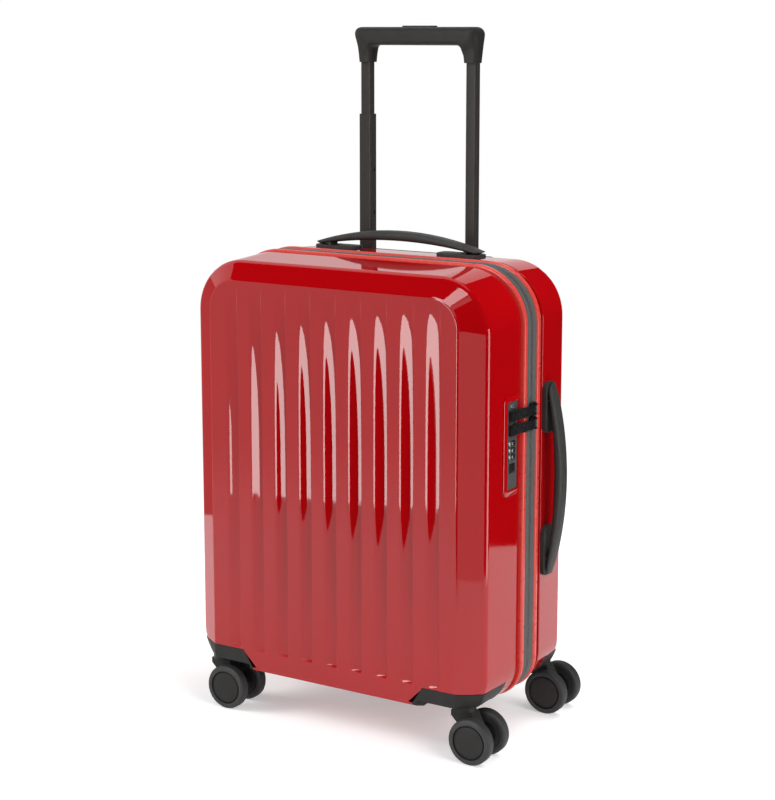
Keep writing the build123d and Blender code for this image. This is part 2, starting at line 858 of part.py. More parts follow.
def build_case():
    lid_solid = shell_solid(LID)
    back_solid = shell_solid(BACK)
    save("front_shell", shell(LID, lid_solid) - lock_room(-lock_depth, past, 0))
    rear = shell(BACK, back_solid) - collar_blank()
    for hand in (-1, 1):
        neck = mount_neck(hand, -mount_neck_reach, past)
        rear -= on_top(neck) + on_side(neck)
    save("rear_shell", rear)
    for side, name, solid in ((LID, "front", lid_solid), (BACK, "rear", back_solid)):
        save(f"{name}_piping", piping(side))
        save(f"{name}_zip_tape", zip_tape(side))
        save(f"{name}_lining", lining(side))
        build_casters(side, name, solid)
    save("packing_straps", *packing_straps())
    save("strap_buckle", strap_buckle())


def build_casters(side, name, solid):
    screws = []
    for hand, hand_name in ((-1, "left"), (1, "right")):
        corner = f"{name}_{hand_name}"
        save(f"{corner}_caster_housing", caster_housing(side, hand, solid))
        screws += [housing_screw(x, y) for x, y in screw_places(side, hand)]
        save(f"{corner}_caster_fork", fork(side, hand))
        axle, hubs, tyres = wheel_set(side, hand)
        save(f"{corner}_wheel_axle", axle)
        save(f"{corner}_wheel_hubs", *hubs)
        save(f"{corner}_wheel_tyres", *tyres)
    save(f"{name}_housing_screws", *screws)


def build_trolley():
    save("trolley_collar", collar())
    outer = [tube(outer_tube, x, foot_top, outer_tube_length) for x in (-tube_x, tube_x)]
    save("trolley_outer_tubes", *outer)
    save("trolley_foot", trolley_foot())
    save("left_middle_tube", middle_tube_solid(-1, pocket_floor + left_middle_draw))
    save("right_middle_tube", middle_tube_solid(1, pocket_floor))
    inner_bottom = leg_bottom + tube_socket - inner_tube_length
    inner = [tube(inner_tube, x, inner_bottom, inner_tube_length) for x in (-tube_x, tube_x)]
    save("inner_tubes", *inner)
    save("trolley_grip", grip())
    save("grip_button", grip_button_solid())
    save("release_rods", release_rods())


def build_handles():
    mounts = [handle_mount(hand) for hand in (-1, 1)]
    for name, place in (("top", on_top), ("side", on_side)):
        save(f"{name}_handle_mounts", *[place(mount) for mount in mounts])
        save(f"{name}_handle_grip", place(handle_bar()))


def build_lock():
    save("lock_case", lock_case())
    save("lock_spindle", spindle(0))
    for rise, name in zip(dial_rises, ("lower", "middle", "upper")):
        save(f"{name}_lock_dial", dial(rise))
    save("lock_button", lock_button())
    save("key_cylinder", key_cylinder())
    for rise, name in zip(tab_rises, ("upper", "lower")):
        save(f"{name}_zip_slider", zip_slider(rise))
        save(f"{name}_pull_tab", pull_tab(rise))


os.makedirs("parts", exist_ok=True)
build_case()
build_trolley()
build_handles()
build_lock()
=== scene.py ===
"""A cabin suitcase with a glossy fluted shell, dressed round its packed construction.

Every surface is worked out with numpy in metres, in the construction's own frame: X across the case,
Y from the lid (negative) to the back (positive), Z up, and the zip in the plane where Y is nought.
"""
import json
import math
from contextlib import contextmanager

import bmesh
import bpy
import numpy as np
from bpy.props import FloatProperty, FloatVectorProperty, IntProperty, PointerProperty
from bpy.types import Operator, Panel, PropertyGroup
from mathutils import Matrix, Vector

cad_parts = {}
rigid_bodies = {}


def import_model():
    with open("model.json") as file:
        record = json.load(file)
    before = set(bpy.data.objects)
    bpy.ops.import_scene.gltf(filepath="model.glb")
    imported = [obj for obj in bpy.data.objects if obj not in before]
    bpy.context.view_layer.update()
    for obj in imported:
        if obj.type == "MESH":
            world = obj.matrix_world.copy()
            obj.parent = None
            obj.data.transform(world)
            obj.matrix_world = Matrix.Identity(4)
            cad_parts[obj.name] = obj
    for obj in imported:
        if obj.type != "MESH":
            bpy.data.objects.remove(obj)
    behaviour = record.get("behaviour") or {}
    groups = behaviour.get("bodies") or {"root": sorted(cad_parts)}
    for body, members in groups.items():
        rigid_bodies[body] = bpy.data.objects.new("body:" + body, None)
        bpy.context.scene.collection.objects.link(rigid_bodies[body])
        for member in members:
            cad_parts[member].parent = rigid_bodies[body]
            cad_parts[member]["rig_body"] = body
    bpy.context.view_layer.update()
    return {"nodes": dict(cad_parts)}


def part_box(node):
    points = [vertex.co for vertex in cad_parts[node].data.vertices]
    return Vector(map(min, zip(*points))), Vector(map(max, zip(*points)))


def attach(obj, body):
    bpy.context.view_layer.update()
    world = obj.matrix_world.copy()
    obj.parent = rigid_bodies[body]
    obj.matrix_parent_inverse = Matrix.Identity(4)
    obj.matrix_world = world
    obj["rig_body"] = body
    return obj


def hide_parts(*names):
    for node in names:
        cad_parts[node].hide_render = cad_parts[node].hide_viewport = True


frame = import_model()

bl_info = {
    "name": "Fluted cabin suitcase",
    "version": (1, 0, 0),
    "blender": (4, 5, 0),
    "location": "3D View > Sidebar > Suitcase",
    "description": "Builds the looks of a hard shell suitcase round its packed construction",
    "category": "Add Mesh",
}

LID_LOW, LID_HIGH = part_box("front_shell")
BACK_LOW, BACK_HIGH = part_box("rear_shell")
PIPING_LOW, PIPING_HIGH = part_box("front_piping")
LOCK_LOW, LOCK_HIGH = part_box("lock_case")
LEG_LOW, LEG_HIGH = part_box("inner_tubes")
HANDLE_LOW, HANDLE_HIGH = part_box("top_handle_grip")
WHEEL_LOW, WHEEL_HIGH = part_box("front_left_wheel_tyres")
HUB_LOW, HUB_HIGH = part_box("front_left_wheel_hubs")
HALVES = ((-1, "lid", "front", "lid"), (1, "back", "rear", "rear_case"))  # side, name, end, body
CORNERS = ("front_left", "front_right", "rear_left", "rear_right")
HANDS = ("left", "right")
WELD = 2e-6
LOCK_ROOM = 0.0006  # joint between the lock and what it is let into
NECK_INSET = 0.021  # from the end of a carry handle to the middle of its neck
EVEN = (1.0, 1.0, 1.0)
FLAT = math.radians(0.6)  # faces that turn less than this become one flat
EASED = math.radians(40.0)  # edges that turn more than this are eased
CRISP = 30.0  # sharp angle of walls and of eased copies, in degrees


def size(name, default, description):
    """A length that a user may change."""
    return FloatProperty(name=name, description=description, default=default, unit="LENGTH", precision=4)


def amount(name, default, description, **kind):
    """A number that a user may change."""
    return FloatProperty(name=name, description=description, default=default, **kind)


def paint(name, default, description):
    """A colour that a user may change."""
    return FloatVectorProperty(
        name=name, description=description, default=default, size=3, min=0.0, max=1.0, subtype="COLOR"
    )


class CaseSizes(PropertyGroup):
    """Sizes of the two shells and of the zip between them."""

    corner_top: size("Upper corner", 0.064, "Radius of the case's upper corners, seen from the front")
    corner_bottom: size("Lower corner", 0.042, "Radius of the case's lower corners, seen from the front")
    bevel_side: size("Side bevel", 0.0315, "Width of the sloped band left and right of a panel")
    bevel_top: size("Top bevel", 0.024, "Height of the sloped band above a panel")
    bevel_bottom: size("Bottom bevel", 0.006, "Height of the sloped band below a panel")
    lid_bevel_depth: size("Lid bevel depth", 0.018, "How far the lid's sloped band goes back")
    back_bevel_depth: size("Back bevel depth", 0.028, "How far the back's sloped band goes in")
    panel_corner_top: size("Panel's upper corner", 0.034, "Radius of a panel's upper corners")
    panel_corner_bottom: size("Panel's lower corner", 0.012, "Radius of a panel's lower corners")
    crease_inside: size("Outer crease inside", 0.005, "Where the outer crease starts on the sloped band")
    crease_outside: size("Outer crease outside", 0.0035, "Where the outer crease ends on the wall")
    wall_taper: size("Wall taper", 0.003, "How far a wall draws in from the groove to the outer crease")
    soft_inside: size("Soft edge inside", 0.001, "Where the panel's soft edge starts, before its corner")
    soft_outside: size("Soft edge outside", 0.0026, "Where the panel's soft edge ends, behind its corner")
    wall: size("Wall", 0.0025, "Thickness of the shell")
    flute_count: IntProperty(name="Flutes", description="Number of upright flutes", default=9, min=1)
    flute_width: size("Flute width", 0.019, "Width of one flute")
    flute_depth: size("Flute depth", 0.0046, "Depth of a flute below the panel")
    flute_margin: size("Flute margin", 0.0299, "Side of the panel to the first flute's middle")
    flute_top: size("Flute top", 0.508, "Height at which a flute has run out")
    flute_bottom: size("Flute bottom", 0.077, "Height at which a flute ends")
    flute_fade: size("Flute fade", 0.2, "Length over which a flute runs out at its top")
    flute_stop: size("Flute stop", 0.004, "Length of a flute's steep lower end")
    flute_shallows: size("Flute shallows", 0.12, "Length over which a flute deepens above its lower end")
    groove_width: size("Groove width", 0.008, "Step in the shell beside the piping")
    groove_depth: size("Groove depth", 0.003, "Depth of that step")
    tape_width: size("Tape width", 0.0115, "Width of one zip tape from the middle of the zip")
    tape_stand: size("Tape stand", 0.0006, "Zip tape above the shell's surface")
    bead_width: size("Bead width", 0.008, "Width of the piping's round bead")
    bead_height: size("Bead height", 0.0034, "Height of the bead's round part")
    bead_stand: size("Bead stand", 0.0024, "Height of the bead above the shell's surface")
    tooth_pitch: size("Tooth pitch", 0.0025, "Distance from one zip tooth to the next")
    tooth_stand: size("Tooth stand", 0.0012, "Zip teeth above the shell's surface")


class FittingSizes(PropertyGroup):
    """Sizes of the handles, the casters and the lock's surround."""

    wheel_width: size("Wheel width", 0.013, "Width of one wheel")
    wheel_shoulder: size("Wheel shoulder", 0.0035, "Rounding of a wheel's edge")
    handle_tip: size("Handle tip", 0.008, "Height of a carry handle's ends above the shell")
    handle_thickness: size("Handle thickness", 0.0115, "Thickness of a carry handle at its crest")
    handle_slant: size("Handle slant", 0.008, "How far a handle's underside ends before its tip")
    housing_slant: size("Housing slant", 0.018, "Slope at the inner end of a caster housing")
    housing_gap: size("Housing gap", 0.0005, "Dark joint between a caster housing and the shell")
    tube_gap: size("Tube gap", 0.0038, "Room in the shell round a trolley tube")
    surround_width: size("Lock surround", 0.0068, "Width of the sloped frame round the lock")
    surround_stand: size("Surround stand", 0.0013, "Height of that frame above the wall")
    figure_height: size("Figure height", 0.0034, "Height of the figures on the lock's dials")
    lining_thickness: size("Lining thickness", 0.0012, "Thickness of the lining cloth")


class Finishes(PropertyGroup):
    """Colours and glosses of the suitcase's materials."""

    shell: paint("Shell", (0.40, 0.001, 0.003), "Gloss red of the two shells")
    shell_gloss: amount(
        "Shell roughness", 0.035, "Roughness of the shell's lacquer", min=0.0, max=1.0, subtype="FACTOR"
    )
    piping: paint("Piping", (0.62, 0.05, 0.04), "Satin red of the piping")
    zip: paint("Zip", (0.085, 0.085, 0.08), "Grey of the zip tapes and teeth")
    plastic: paint("Plastic", (0.0235, 0.023, 0.022), "Charcoal of the moulded fittings")
    handle: paint("Handle", (0.036, 0.0355, 0.034), "Soft charcoal of the two carry handles")
    tyre: paint("Tyre", (0.02, 0.02, 0.021), "Grey black of the tyres")
    tube: paint("Tube", (0.036, 0.0335, 0.031), "Dark anodised trolley tubes")
    slider: paint("Slider", (0.008, 0.008, 0.0085), "Black coated zip sliders and pull tabs")
    lock: paint("Lock", (0.065, 0.066, 0.065), "Dark grey of the lock")
    steel: paint("Steel", (0.62, 0.62, 0.6), "Bright steel of key cylinder, axles and screws")
    figures: paint("Figures", (0.72, 0.72, 0.68), "Figures on the dials")
    lining: paint("Lining", (0.075, 0.075, 0.08), "Grey lining cloth")
    strap: paint("Strap", (0.022, 0.022, 0.024), "Black webbing of the packing straps")


class StageSizes(PropertyGroup):
    """Place of the camera and strength of the studio's light."""

    camera_place: FloatVectorProperty(
        name="Camera",
        description="Where the camera stands",
        default=(1.10265, -1.77809, 0.79419),
        unit="LENGTH",
    )
    camera_turn: amount("Turn", math.radians(31.597), "Camera's turn about the vertical", subtype="ANGLE")
    camera_tilt: amount("Tilt", math.radians(9.736), "Camera's tilt below the horizon", subtype="ANGLE")
    camera_lens: amount("Lens", 82.54, "Focal length for a 36 mm long side", unit="CAMERA")
    camera_shift: amount("Shift", -0.07, "Shift of the frame, as a share of its height")
    daylight: amount("Daylight", 0.34, "Soft light from all round", min=0.0)
    key: amount("Key", 34.0, "Power of the large lamp above", unit="POWER")
    fill: amount("Fill", 52.0, "Power of the lamp at the left", unit="POWER")
    side: amount("Side", 32.0, "Power of the lamp at the right", unit="POWER")
    paper: amount("Paper", 0.82, "Paleness of the floor's paper", min=0.0, max=1.0)
    paper_glow: amount("Paper glow", 0.36, "Glow that lifts the paper towards white", min=0.0)


@contextmanager
def edited(mesh):
    """A mesh's faces for editing, put back into the mesh at the end."""
    form = bmesh.new()
    form.from_mesh(mesh)
    yield form
    form.to_mesh(mesh)
    form.free()


def numbers(items, name, width=1, kind=np.float32):
    """One property of all the points, corners or faces of a mesh, as an array."""
    values = np.empty(len(items) * width, kind)
    items.foreach_get(name, values)
    return values.reshape(-1, width) if width > 1 else values


def in_space(across, out, up):
    """Points from their distance across, their distance from the zip plane and their height."""
    return np.stack(np.broadcast_arrays(across, out, up), axis=-1)


def closed(points):
    """A ring, or rows of a grid, with the first repeated at the end."""
    return np.concatenate([points, points[:1]])


def bent(values, power):
    """A superellipse's sine or cosine: a plain one raised to a power, keeping its sign."""
    return np.sign(values) * np.abs(values) ** power


def smooth_step(values):
    """Nought up to nought, one from one, and between them three squares less two cubes."""
    values = np.clip(values, 0.0, 1.0)
    return values**2 * (3 - 2 * values)


class Surface:
    """Grids of points and the faces between them, gathered to become one mesh."""

    def __init__(self):
        self.points = []
        self.places = []
        self.faces = []
        self.count = 0

    def _add(self, points, places):
        index = np.arange(len(points)) + self.count
        self.points.append(points)
        self.places.append(places)
        self.count += len(points)
        return index

    def grid(self, points):
        """Four-sided faces over points in rows and columns.

        The UV map holds the lengths along both, in metres.
        """
        rows, columns = points.shape[:2]
        across = np.linalg.norm(np.diff(points, axis=1), axis=2).mean(axis=0)
        along = np.linalg.norm(np.diff(points, axis=0), axis=2).mean(axis=1)
        u, v = np.meshgrid(np.append(0.0, np.cumsum(across)), np.append(0.0, np.cumsum(along)))
        places = np.stack([u.ravel(), v.ravel()], axis=1)
        index = self._add(points.reshape(-1, 3), places).reshape(rows, columns)
        corners = (index[:-1, :-1], index[:-1, 1:], index[1:, 1:], index[1:, :-1])
        self.faces += np.stack(corners, axis=-1).reshape(-1, 4).tolist()
        return self

    def copies(self, points, faces):
        """The same small shape many times: points are copies by corners by three.

        Each face counts the corners of one copy.
        """
        many, corners = points.shape[:2]
        index = self._add(points.reshape(-1, 3), points.reshape(-1, 3)[:, [0, 2]]).reshape(many, corners)
        for face in faces:
            self.faces += index[:, face].tolist()
        return self

    def cap(self, ring):
        """One flat face over a closed ring of points."""
        index = self._add(ring, ring[:, [0, 2]])
        self.faces.append(index.tolist())
        return self

    def tube(self, points):
        """A closed tube: a grid whose rows are closed rings, capped at the first and the last."""
        return self.grid(points).cap(points[0, :-1]).cap(points[-1, :-1])

    def mesh(self, name):
        """The gathered faces as one mesh, welded where grids meet, with every face outwards.

        Faces point outwards where the flow from the middle, summed over all of them by area, is outwards.
        """
        mesh = bpy.data.meshes.new(name)
        mesh.from_pydata(np.concatenate(self.points), [], self.faces)
        corner = numbers(mesh.loops, "vertex_index", kind=np.int32)
        layer = mesh.uv_layers.new(name="UVMap")
        layer.data.foreach_set("uv", np.concatenate(self.places)[corner].astype(np.float32).ravel())
        with edited(mesh) as form:
            bmesh.ops.remove_doubles(form, verts=form.verts, dist=WELD)
            bmesh.ops.dissolve_degenerate(form, edges=form.edges, dist=WELD)
            bmesh.ops.recalc_face_normals(form, faces=form.faces)
        out = numbers(mesh.polygons, "center", 3) - numbers(mesh.vertices, "co", 3).mean(axis=0)
        flow = np.sum(out * numbers(mesh.polygons, "normal", 3), axis=1) @ numbers(mesh.polygons, "area")
        if flow < 0.0:
            mesh.flip_normals()
        return mesh


def smooth(mesh, sharp):
    """Shade a mesh smoothly but for edges that turn more than the sharp angle."""
    mesh.shade_smooth()
    mesh.set_sharp_from_angle(angle=math.radians(sharp))


def show(name, mesh, material, sharp=35.0):
    """Link a mesh as an object at the origin."""
    mesh.materials.clear()
    mesh.materials.append(material)
    smooth(mesh, sharp)
    obj = bpy.data.objects.new(name, mesh)
    bpy.context.scene.collection.objects.link(obj)
    return obj


def dress(name, mesh, cover, body, nodes=(), sharp=35.0):
    """A piece of the suitcase: it rides on a body and stands for the nodes it replaces."""
    obj = show(name, mesh, finish(cover), sharp)
    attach(obj, body)
    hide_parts(*nodes)
    return obj


def pressed_down(points, depth=0.008, left=0.25):
    """Press what stands above a depth below the back's top to what is left of its rise, a quarter."""
    points[:, 2] -= (1.0 - left) * np.maximum(points[:, 2] - BACK_HIGH.z + depth, 0.0)


def drawn_in(points, ramp=0.02):
    """Move points at the sides in with the tapered walls, but not at the zip or a ramp in from the side."""
    sizes = bpy.context.scene.suitcase_sizes
    lid_crease = LID_LOW.y + sizes.lid_bevel_depth
    back_crease = BACK_HIGH.y - sizes.back_bevel_depth
    x, y = points[:, 0], points[:, 1]
    along = np.clip(y / np.where(y < 0, lid_crease, back_crease), 0.0, 1.0)
    out = np.clip((np.abs(x) - LID_HIGH.x) / ramp + 1.0, 0.0, 1.0)
    points[:, 0] -= np.sign(x) * sizes.wall_taper * along * out


def widened(points, start=0.004, ramp=0.008, more=0.3):
    """Spread points in height about their middle, but not at the start of the piece, towards the back."""
    reach = np.clip((points[:, 1].max() - points[:, 1] - start) / ramp, 0.0, 1.0)
    middle = (points[:, 2].max() + points[:, 2].min()) / 2
    points[:, 2] += more * reach * (points[:, 2] - middle)


def eased_copy(node, cover, easing=0.0, reshape=None):
    """A node's own surface, welded, its flats joined up and its edges eased, in place of the node.

    A reshape function moves the points first.
    """
    source = frame["nodes"][node]
    points = numbers(source.data.vertices, "co", 3)
    if reshape:
        reshape(points)
    corners = numbers(source.data.loops, "vertex_index", kind=np.int32)
    mesh = bpy.data.meshes.new(node + "_eased")
    mesh.from_pydata(points, [], corners.reshape(-1, 3).tolist())
    with edited(mesh) as form:
        bmesh.ops.remove_doubles(form, verts=form.verts, dist=WELD)
        bmesh.ops.dissolve_limit(form, angle_limit=FLAT, verts=form.verts, edges=form.edges)
    obj = dress(node + "_eased", mesh, cover, source["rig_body"], [node], CRISP)
    if easing:
        bevel = obj.modifiers.new("Eased edges", "BEVEL")
        bevel.width = easing
        bevel.segments = 3
        bevel.limit_method = "ANGLE"
        bevel.angle_limit = EASED
        bevel.harden_normals = True
    return obj


def evaluated(obj):
    """A new mesh of what an object's modifiers or its text make."""
    depsgraph = bpy.context.evaluated_depsgraph_get()
    return bpy.data.meshes.new_from_object(obj.evaluated_get(depsgraph), depsgraph=depsgraph)


def thicken(obj, thickness):
    """Give a skin a wall on its inner side, as its own mesh."""
    wall = obj.modifiers.new("Wall", "SOLIDIFY")
    wall.thickness = thickness
    wall.offset = -1.0
    mesh = evaluated(obj)
    obj.modifiers.clear()
    obj.data = mesh
    smooth(mesh, CRISP)


def reaches_into(face, planes):
    """Whether a face has a corner on the inner side of every plane."""
    return all(min((corner.co - point).dot(way) for corner in face.verts) < 0.0 for point, way in planes)


def cut_away(mesh, regions):
    """Take out of a skin what lies inside each region.

    A region is a list of planes, each a point and the way out of the region.
    """
    with edited(mesh) as form:
        for region in regions:
            planes = [(Vector(point), Vector(way)) for point, way in region]
            near = [face for face in form.faces if reaches_into(face, planes)]
            for point, way in planes:
                edges = {edge for face in near for edge in face.edges}
                corners = {corner for face in near for corner in face.verts}
                cut = bmesh.ops.bisect_plane(
                    form, geom=[*corners, *edges, *near], plane_co=point, plane_no=way, dist=1e-7
                )
                near = [item for item in cut["geom"] if isinstance(item, bmesh.types.BMFace)]
            inside = [
                face
                for face in near
                if all((face.calc_center_median() - point).dot(way) < 0.0 for point, way in planes)
            ]
            bmesh.ops.delete(form, geom=inside, context="FACES")
    return mesh


def block_room(low, high, margin, through):
    """A block's room, wider by a margin, open upwards or to the right along one axis."""
    planes = []
    around = Vector((margin,) * 3)
    for axis in range(3):
        way = np.eye(3)[axis]
        planes.append((Vector(low) - around, -way))
        if axis != through:
            planes.append((Vector(high) + around, way))
    return planes


def rounded_loop(half_width, low, high, radius_low, radius_high, steps):
    """Points and outward directions round a rectangle with round corners, closed by the first one.

    Each corner is a quarter circle about a centre that lies its radius in from both sides.
    """
    turn = np.linspace(0.0, math.pi / 2, steps + 1)
    angle = np.concatenate([turn + quarter * math.pi / 2 for quarter in range(4)])
    way = np.stack([np.cos(angle), np.sin(angle)], axis=1)
    upper = np.repeat([True, True, False, False], steps + 1)
    radius = np.where(upper, radius_high, radius_low)
    x = np.repeat([1.0, -1.0, -1.0, 1.0], steps + 1) * (half_width - radius)
    z = np.where(upper, high - radius, low + radius)
    points = np.stack([x, z], axis=1) + radius[:, None] * way
    return closed(points), closed(way)


def block_loop(half_width, half_height, radius, steps):
    """A rounded loop about the middle, with the same radius at all corners."""
    return rounded_loop(half_width, -half_height, half_height, radius, radius, steps)


def case_loop(sizes, steps=28):
    """Points and outward directions round the case, seen from the front."""
    return rounded_loop(LID_HIGH.x, LID_LOW.z, LID_HIGH.z, sizes.corner_bottom, sizes.corner_top, steps)


def spread_round(sizes, pitch, start=0.0):
    """Points and outward directions at an even pitch round the case, the first a share of it on."""
    points, way = case_loop(sizes, 40)
    run = np.append(0.0, np.cumsum(np.linalg.norm(np.diff(points, axis=0), axis=1)))
    count = int(run[-1] / pitch)
    place = (np.arange(count) + start) * run[-1] / count
    at = np.stack([np.interp(place, run, points[:, i]) for i in range(2)], axis=1)
    out = np.stack([np.interp(place, run, way[:, i]) for i in range(2)], axis=1)
    return at, out / np.linalg.norm(out, axis=1, keepdims=True)


def carried_round(sizes, profile, side):
    """A profile carried round the case: its numbers stand out from the shell and from the zip."""
    points, way = case_loop(sizes)
    place = points[:, None, :] + profile[None, :, :1] * way[:, None, :]
    return in_space(place[..., 0], side * profile[None, :, 1], place[..., 1])


def turned(section, centre, outward, segments):
    """A section turned about a wheel's axle: radii and places along Y outwards, once round the centre."""
    radius, along = section.T
    angle = np.linspace(0.0, 2 * math.pi, segments + 1)[:, None]
    x = centre[0] + np.cos(angle) * radius
    z = centre[2] + np.sin(angle) * radius
    return in_space(x, centre[1] + outward * along, z)


def eased_path(rings, radii, steps=9, support=0.0005):
    """Rings from the first to the last, where the corners between are rounded.

    The arc at a corner touches both sides where a circle of the radius would, and is a conic whose weight
    is the sine of half the angle between the sides, which makes it that circle. Where two lengths stand in
    place of a radius, the arc starts and ends at these from the corner. No arc takes more than a set share
    of a side. A ring a little before and after each arc keeps the flats beside it flat.
    """
    most_back, most_ahead, most_beside = 0.55, 0.44, 0.1
    path = [rings[0]]
    for before, corner, after, radius in zip(rings, rings[1:], rings[2:], radii):
        back = before - corner
        ahead = after - corner
        back_length = np.linalg.norm(back, axis=1, keepdims=True)
        ahead_length = np.linalg.norm(ahead, axis=1, keepdims=True)
        shorter = np.minimum(back_length, ahead_length)
        back = back / back_length
        ahead = ahead / ahead_length
        half = np.arccos(np.clip(np.sum(back * ahead, axis=1, keepdims=True), -1.0, 1.0)) / 2
        if isinstance(radius, tuple):
            reach_back = np.minimum(radius[0], most_back * back_length)
            reach_ahead = np.minimum(radius[1], most_ahead * ahead_length)
        else:
            reach_back = np.minimum(radius / np.tan(half), most_ahead * shorter)
            reach_ahead = reach_back
        beside = np.minimum(support, most_beside * shorter)
        start = corner + back * reach_back
        end = corner + ahead * reach_ahead
        weight = np.sin(half)
        path.append(start + back * beside)
        for t in np.linspace(0.0, 1.0, steps + 1):
            bow = 2 * t * (1 - t) * weight
            path.append(((1 - t) ** 2 * start + bow * corner + t**2 * end) / ((1 - t) ** 2 + bow + t**2))
        path.append(end + ahead * beside)
    path.append(rings[-1])
    return np.stack(path)


class Shell:
    """The shape of one half: a flat fluted panel, a sloped band round it, straight walls and a stepped rim.

    The panel is a grid over a rectangle with round corners. Its outline is carried out over the crease,
    the sloped band, the second crease and the wall to the rim, each point keeping its place round the case.
    """

    inset = 0.0045  # from the panel's corner line in to the edge of its grid
    across = np.array([0.0, 0.28, 0.88, 0.91, 0.975, 1.0])  # places across a flute, as shares of its width
    slope = np.array([0.0, 1.0, 0.24, -5.9, -5.9, 0.0])  # how steeply the flute falls at these places
    steps = (6, 8, 4, 2, 4)  # columns from each of these places to the next
    overlap = 0.04  # flat columns beside a flute, as a share of its width
    least_gap = 0.0002  # between the last flute's columns and those over a round end
    fade_power = 2.5
    crisping = 0.75  # how much less soft the panel's lower edge is
    groove_rounding = (0.0012, 0.0006)

    def __init__(self, sizes, side):
        self.sizes = sizes
        self.side = side
        lid = side < 0
        self.depth = -LID_LOW.y if lid else BACK_HIGH.y
        self.rim = -LID_HIGH.y if lid else BACK_LOW.y
        self.crease = self.depth - (sizes.lid_bevel_depth if lid else sizes.back_bevel_depth)
        self.half = LID_HIGH.x - sizes.bevel_side - self.inset
        self.low = LID_LOW.z + sizes.bevel_bottom + self.inset
        self.high = LID_HIGH.z - sizes.bevel_top - self.inset
        self.round_top = sizes.panel_corner_top - self.inset
        self.round_bottom = sizes.panel_corner_bottom - self.inset

    def columns(self):
        """Places across the panel: a fine set over each flute and over the two round ends."""
        steps = [np.linspace(a, b, n + 1) for a, b, n in zip(self.across, self.across[1:], self.steps)]
        pattern = np.unique(np.concatenate([[-self.overlap, 1.0 + self.overlap], *steps])) - 0.5
        columns = (self.flutes()[:, None] + pattern[None, :] * self.sizes.flute_width).ravel()
        turn = np.sin(np.linspace(0.0, math.pi / 2, 10))
        ends = np.concatenate([self.half - r + r * turn for r in (self.round_top, self.round_bottom)])
        ends = ends[ends > columns.max() + self.least_gap]
        return np.unique(np.round(np.concatenate([columns, ends, -ends]), 6))

    def flutes(self):
        """Middles of the flutes, evenly spread between the two margins."""
        reach = self.half + self.inset - self.sizes.flute_margin
        return np.linspace(-reach, reach, self.sizes.flute_count)

    def rows(self):
        """Heights up the panel as shares, close together where the flutes begin and end."""
        sizes = self.sizes
        stop = sizes.flute_bottom + sizes.flute_stop * np.linspace(-0.15, 1.15, 11)
        fade = sizes.flute_top - sizes.flute_fade * np.linspace(1.08, 0.0, 24)
        heights = np.concatenate([[self.low], stop, np.linspace(0.1, 0.33, 9), fade, [self.high]])
        heights = np.unique(np.round(heights, 6))
        return (heights - self.low) / (self.high - self.low)

    def sunk(self, x, z):
        """Depth of the flutes below the panel.

        Across, the depth is the running sum of a slope, which rises over the left shoulder, falls off evenly
        towards the valley and turns back in a short steep wall. Up the panel the depth runs out at the top as
        one less the 2.5th power of what is left of the fade, and at the bottom in a smooth step. The outer
        flutes are shallower, by a third of the cube of their place from the middle, and each is half as deep
        at its lower end.
        """
        sizes = self.sizes
        fine = np.linspace(0.0, 1.0, 401)
        slope = np.interp(fine, self.across, self.slope)
        deep = np.append(0.0, np.cumsum((slope[1:] + slope[:-1]) / 2))
        deep = (deep - fine * deep[-1]) / deep.max()
        offset = x[..., None] - self.flutes()
        nearest = np.abs(offset).argmin(axis=-1)
        offset = np.take_along_axis(offset, nearest[..., None], axis=-1)[..., 0]
        across = np.interp(offset / sizes.flute_width + 0.5, fine, deep)
        place = 2 * nearest / max(sizes.flute_count - 1, 1) - 1
        up = np.clip((sizes.flute_top - z) / sizes.flute_fade, 0.0, 1.0)
        along = 1 - (1 - up) ** self.fade_power
        along = along * smooth_step((z - sizes.flute_bottom) / sizes.flute_stop)
        along = along * (1 + smooth_step((z - sizes.flute_bottom) / sizes.flute_shallows)) / 2
        return sizes.flute_depth * across * (1 - np.abs(place) ** 3 / 3) * along

    def panel(self):
        """The fluted panel as a grid: height runs between the lower and the upper outline at each column."""
        x = self.columns()
        top = np.maximum(np.abs(x) - (self.half - self.round_top), 0.0)
        bottom = np.maximum(np.abs(x) - (self.half - self.round_bottom), 0.0)
        high = self.high - self.round_top + np.sqrt(np.maximum(self.round_top**2 - top**2, 0.0))
        low = self.low + self.round_bottom - np.sqrt(np.maximum(self.round_bottom**2 - bottom**2, 0.0))
        z = low + self.rows()[:, None] * (high - low)
        x = np.broadcast_to(x, z.shape)
        return in_space(x, self.depth - self.sunk(x, z), z)

